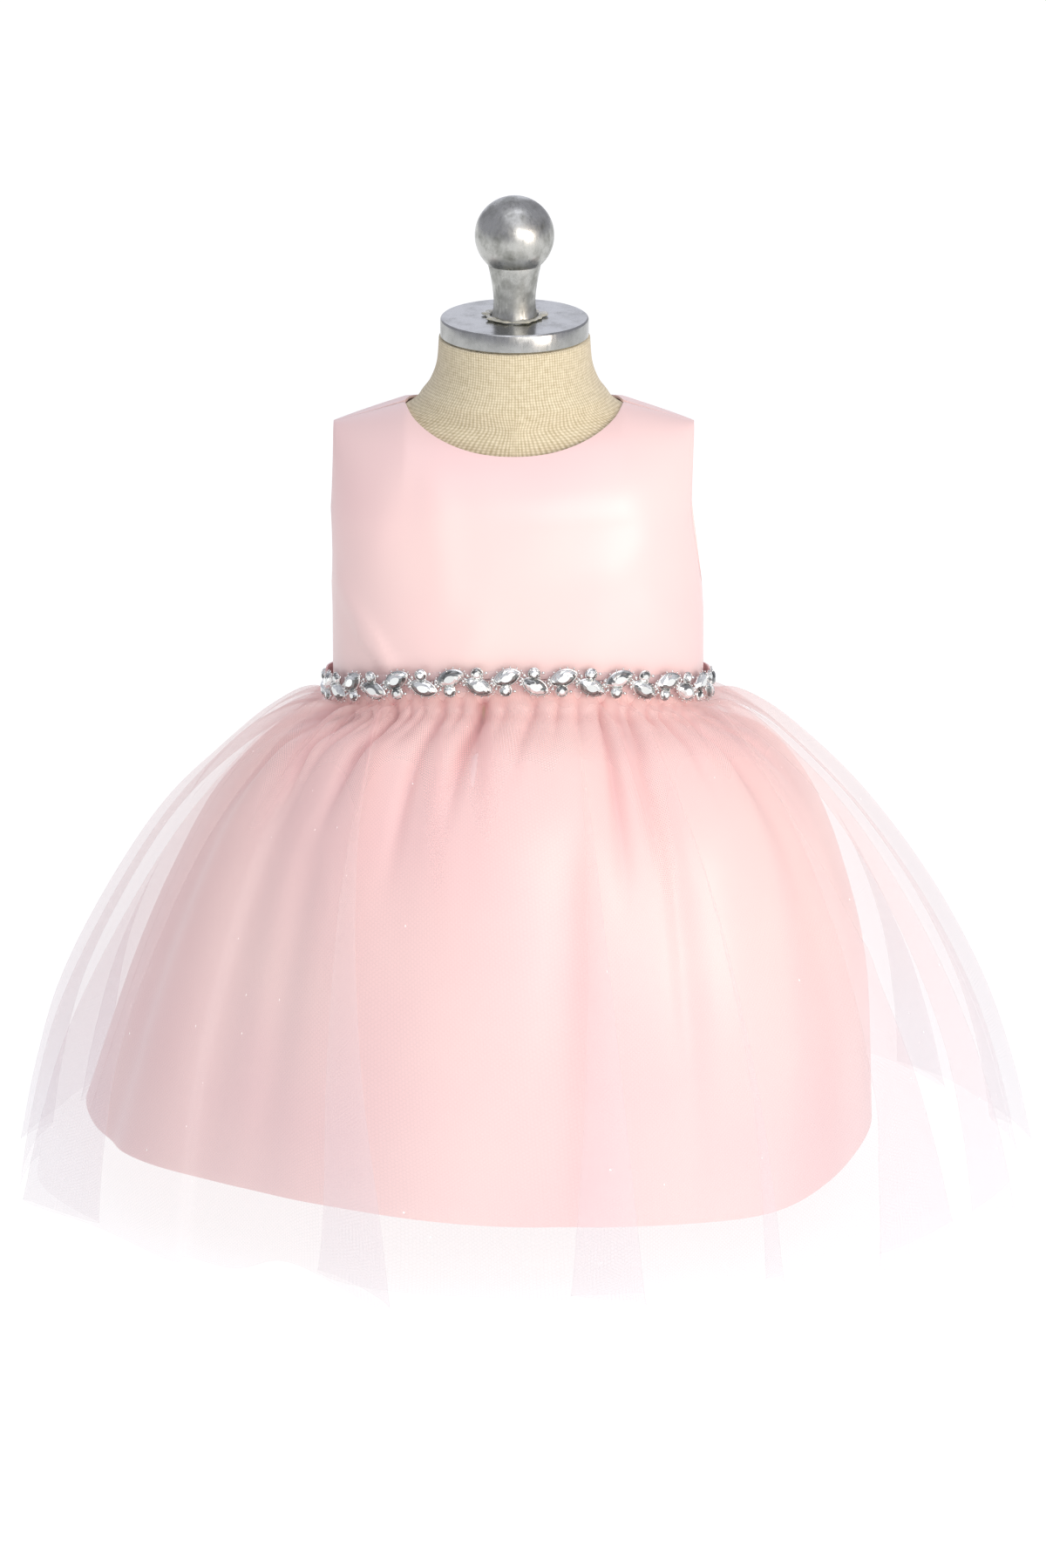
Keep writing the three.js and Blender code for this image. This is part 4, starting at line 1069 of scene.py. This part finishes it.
formRows = rowsOf("z halfWidth front back power", [
    (172, 36.0, 25.0, 27.0, 2.0),
    (182, 58.0, 40.0, 42.0, 2.1),
    (200, 74.0, 52.0, 53.0, 2.2),
    (230, 83.0, 61.0, 57.0, 2.3),
    (262, 84.5, 63.0, 55.5, 2.3),
    (300, 84.5, 60.5, 56.5, 2.3),
    (345, 84.0, 55.0, 55.0, 2.2),
    (363, 83.5, 48.5, 49.0, 1.9),
    (375, 81.5, 41.5, 41.5, 1.6),
    (382, 73.0, 40.0, 37.0, 1.5),
    (388, 58.5, 39.6, 36.5, 1.5),
    (393, 48.5, 39.6, 37.0, 1.8),
    (397.5, 44.6, 39.6, 38.0, 2.0),
    (403, 40.6, 38.5, 38.0, 2.0),
    (412, 37.4, 37.0, 37.0, 2.0),
    (424.4, 36.3, 36.3, 36.3, 2.0),
])
# Size of the knit as a share of the solid's, so that it lies just inside
formFit = 0.996
cap = {"radius": 35.5, "thickness": 9.2, "bottom": 424.8, "edge": 0.8}
finial = {"foot": 11.0, "waist": 9.9, "shoulder": 12.6, "ball": 19, "height": 59}


def makeForm():
    def bustAt(u, v):
        rows = {key: alongTable(formRows, key, v) for key in ("z", "halfWidth", "front", "back", "power")}
        angle = 2 * math.pi * u
        depth = rows["front"] if math.cos(angle) > 0 else rows["back"]
        x = rows["halfWidth"] * signedPower(math.sin(angle), 2 / rows["power"])
        y = -depth * signedPower(math.cos(angle), 2 / rows["power"])
        return Vector((x * formFit, y * formFit, rows["z"]))

    bm = tubeMesh(144, 120, bustAt, (0.245, 0.27))
    flat = bm.loops.layers.uv["flat"]
    for face in bm.faces:
        for loop in face.loops:
            loop[flat].uv.y = loop.vert.co.z
    bust = addPiece("formBust", bm, knit, ["form_bust"])

    top = cap["bottom"] + cap["thickness"]
    radius, edge = cap["radius"], cap["edge"]
    profile = [(0, cap["bottom"]), (radius - edge, cap["bottom"]), (radius, cap["bottom"] + edge),
               (radius, top - edge * 1.2), (radius - 0.25, top - 0.35), (radius - edge * 0.9, top),
               (0, top)]
    disc = addPiece("neckCap", turnedMesh(profile, 128), polished, ["form_neck_cap"])
    disc.data.set_sharp_from_angle(angle=35 * radians)

    foot = top + seamGap
    ballZ = foot + finial["height"] - finial["ball"]
    join = math.asin(finial["shoulder"] / finial["ball"])
    shoulderZ = ballZ - finial["ball"] * math.cos(join)
    profile = [(0, foot), (finial["foot"], foot), (finial["waist"] + 0.3, foot + 4)]
    for i in range(1, 9):
        t = i / 8
        radius = mix(finial["waist"], finial["shoulder"], t ** 1.7)
        profile.append((radius, mix(foot + 6, shoulderZ - 0.4, t)))
    for i in range(24):
        angle = join + (math.pi - join) * i / 24
        profile.append((finial["ball"] * math.sin(angle), ballZ - finial["ball"] * math.cos(angle)))
    profile.append((0, ballZ + finial["ball"]))
    knob = addPiece("finialKnob", turnedMesh(profile, 96), knobMetal, ["form_finial"])
    knob.data.set_sharp_from_angle(angle=40 * radians)


glueBead = {"radius": 12.0, "swell": 1.2, "drift": 0.6, "half": 1.7, "up": 0.45, "height": 0.85}


# Glue squeezed out round the stem's foot, in uneven lumps
def makeGlue():
    top = cap["bottom"] + cap["thickness"]

    def ringAt(u, v):
        turn, about = 2 * math.pi * u, 2 * math.pi * v
        lump = 1 + 0.28 * math.sin(turn * 5 + 1) + 0.22 * math.sin(turn * 9)
        lump += 0.15 * math.sin(turn * 17 + 2)
        radius = glueBead["radius"] + glueBead["swell"] * lump + glueBead["drift"] * math.sin(turn * 3)
        radius += glueBead["half"] * lump * math.cos(about)
        z = top + glueBead["up"] + glueBead["height"] * lump * (0.5 + 0.5 * math.sin(about))
        return Vector((radius * math.cos(turn), radius * math.sin(turn), z))

    ring = addPiece("glueRing", tubeMesh(120, 16, ringAt, (0.08, 0.006)), glue, [])


# The pole and the base show as they are, in chromed steel
def dressStand():
    for name in ("stand_pole", "stand_base"):
        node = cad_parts[name]
        node.data.materials.clear()
        node.data.materials.append(chrome)


# Floor, lights and camera

stage = {"floorHalf": 9.0, "floorZ": -0.0004, "world": "#e8e8f4", "worldStrength": 0.56}
view = {"at": (0, -4.8363, 1.7028), "down": 17.257, "roll": -0.048, "lens": 240.13, "sensor": 36,
        "aim": (0, 0, 0.25)}


def makeStage():
    bm = bmesh.new()
    bmesh.ops.create_grid(bm, x_segments=8, y_segments=8, size=stage["floorHalf"])
    floor = meshObject("floor", bm, floorMaterial())
    floor.location.z = stage["floorZ"]

    world = bpy.data.worlds.new("softRoom")
    bpy.context.scene.world = world
    world.use_nodes = True
    background = world.node_tree.nodes["Background"]
    background.inputs[0].default_value = linear(stage["world"])
    background.inputs[1].default_value = stage["worldStrength"]

    lights = [
        {"name": "keyPanel", "at": (1.7, -1.7, 0.75), "size": 1.0, "watts": 20, "colour": "#fff1e6"},
        {"name": "frontPanel", "at": (0.8, -2.5, 1.3), "size": 1.5, "watts": 23, "colour": "#fff9f5"},
        {"name": "backPanel", "at": (-0.4, 2.8, 1.5), "size": 2.2, "watts": 9, "colour": "#f0f3ff"},
        {"name": "topPanel", "at": (0.1, -0.8, 2.4), "size": 2.0, "watts": 15, "colour": "#f6f6ff"},
    ]
    for settings in lights:
        lamp = bpy.data.lights.new(settings["name"], "AREA")
        lamp.shape = "SQUARE"
        lamp.size = settings["size"]
        lamp.energy = settings["watts"]
        lamp.color = linear(settings["colour"])[:3]
        holder = addObject(settings["name"], lamp)
        holder.location = settings["at"]
        aim = Vector(view["aim"]) - holder.location
        holder.rotation_euler = aim.to_track_quat("-Z", "Y").to_euler()

    lens = bpy.data.cameras.new("camera")
    lens.sensor_width = view["sensor"]
    lens.lens = view["lens"]
    lens.clip_end = 40
    camera = addObject("camera", lens)
    camera.location = view["at"]
    camera.rotation_euler = ((90 - view["down"]) * radians, 0, view["roll"] * radians)
    bpy.context.scene.camera = camera
    bpy.context.scene.view_settings.view_transform = "Standard"


makeStage()
makeForm()
makeGlue()
dressStand()
print("form ready")
makeBodice()
print("bodice ready")
makeSkirts()
makeTulle()
print("skirts ready")
makeSash()
makeTrim()
makeBow()
makeButtons()
print("trimmings ready")
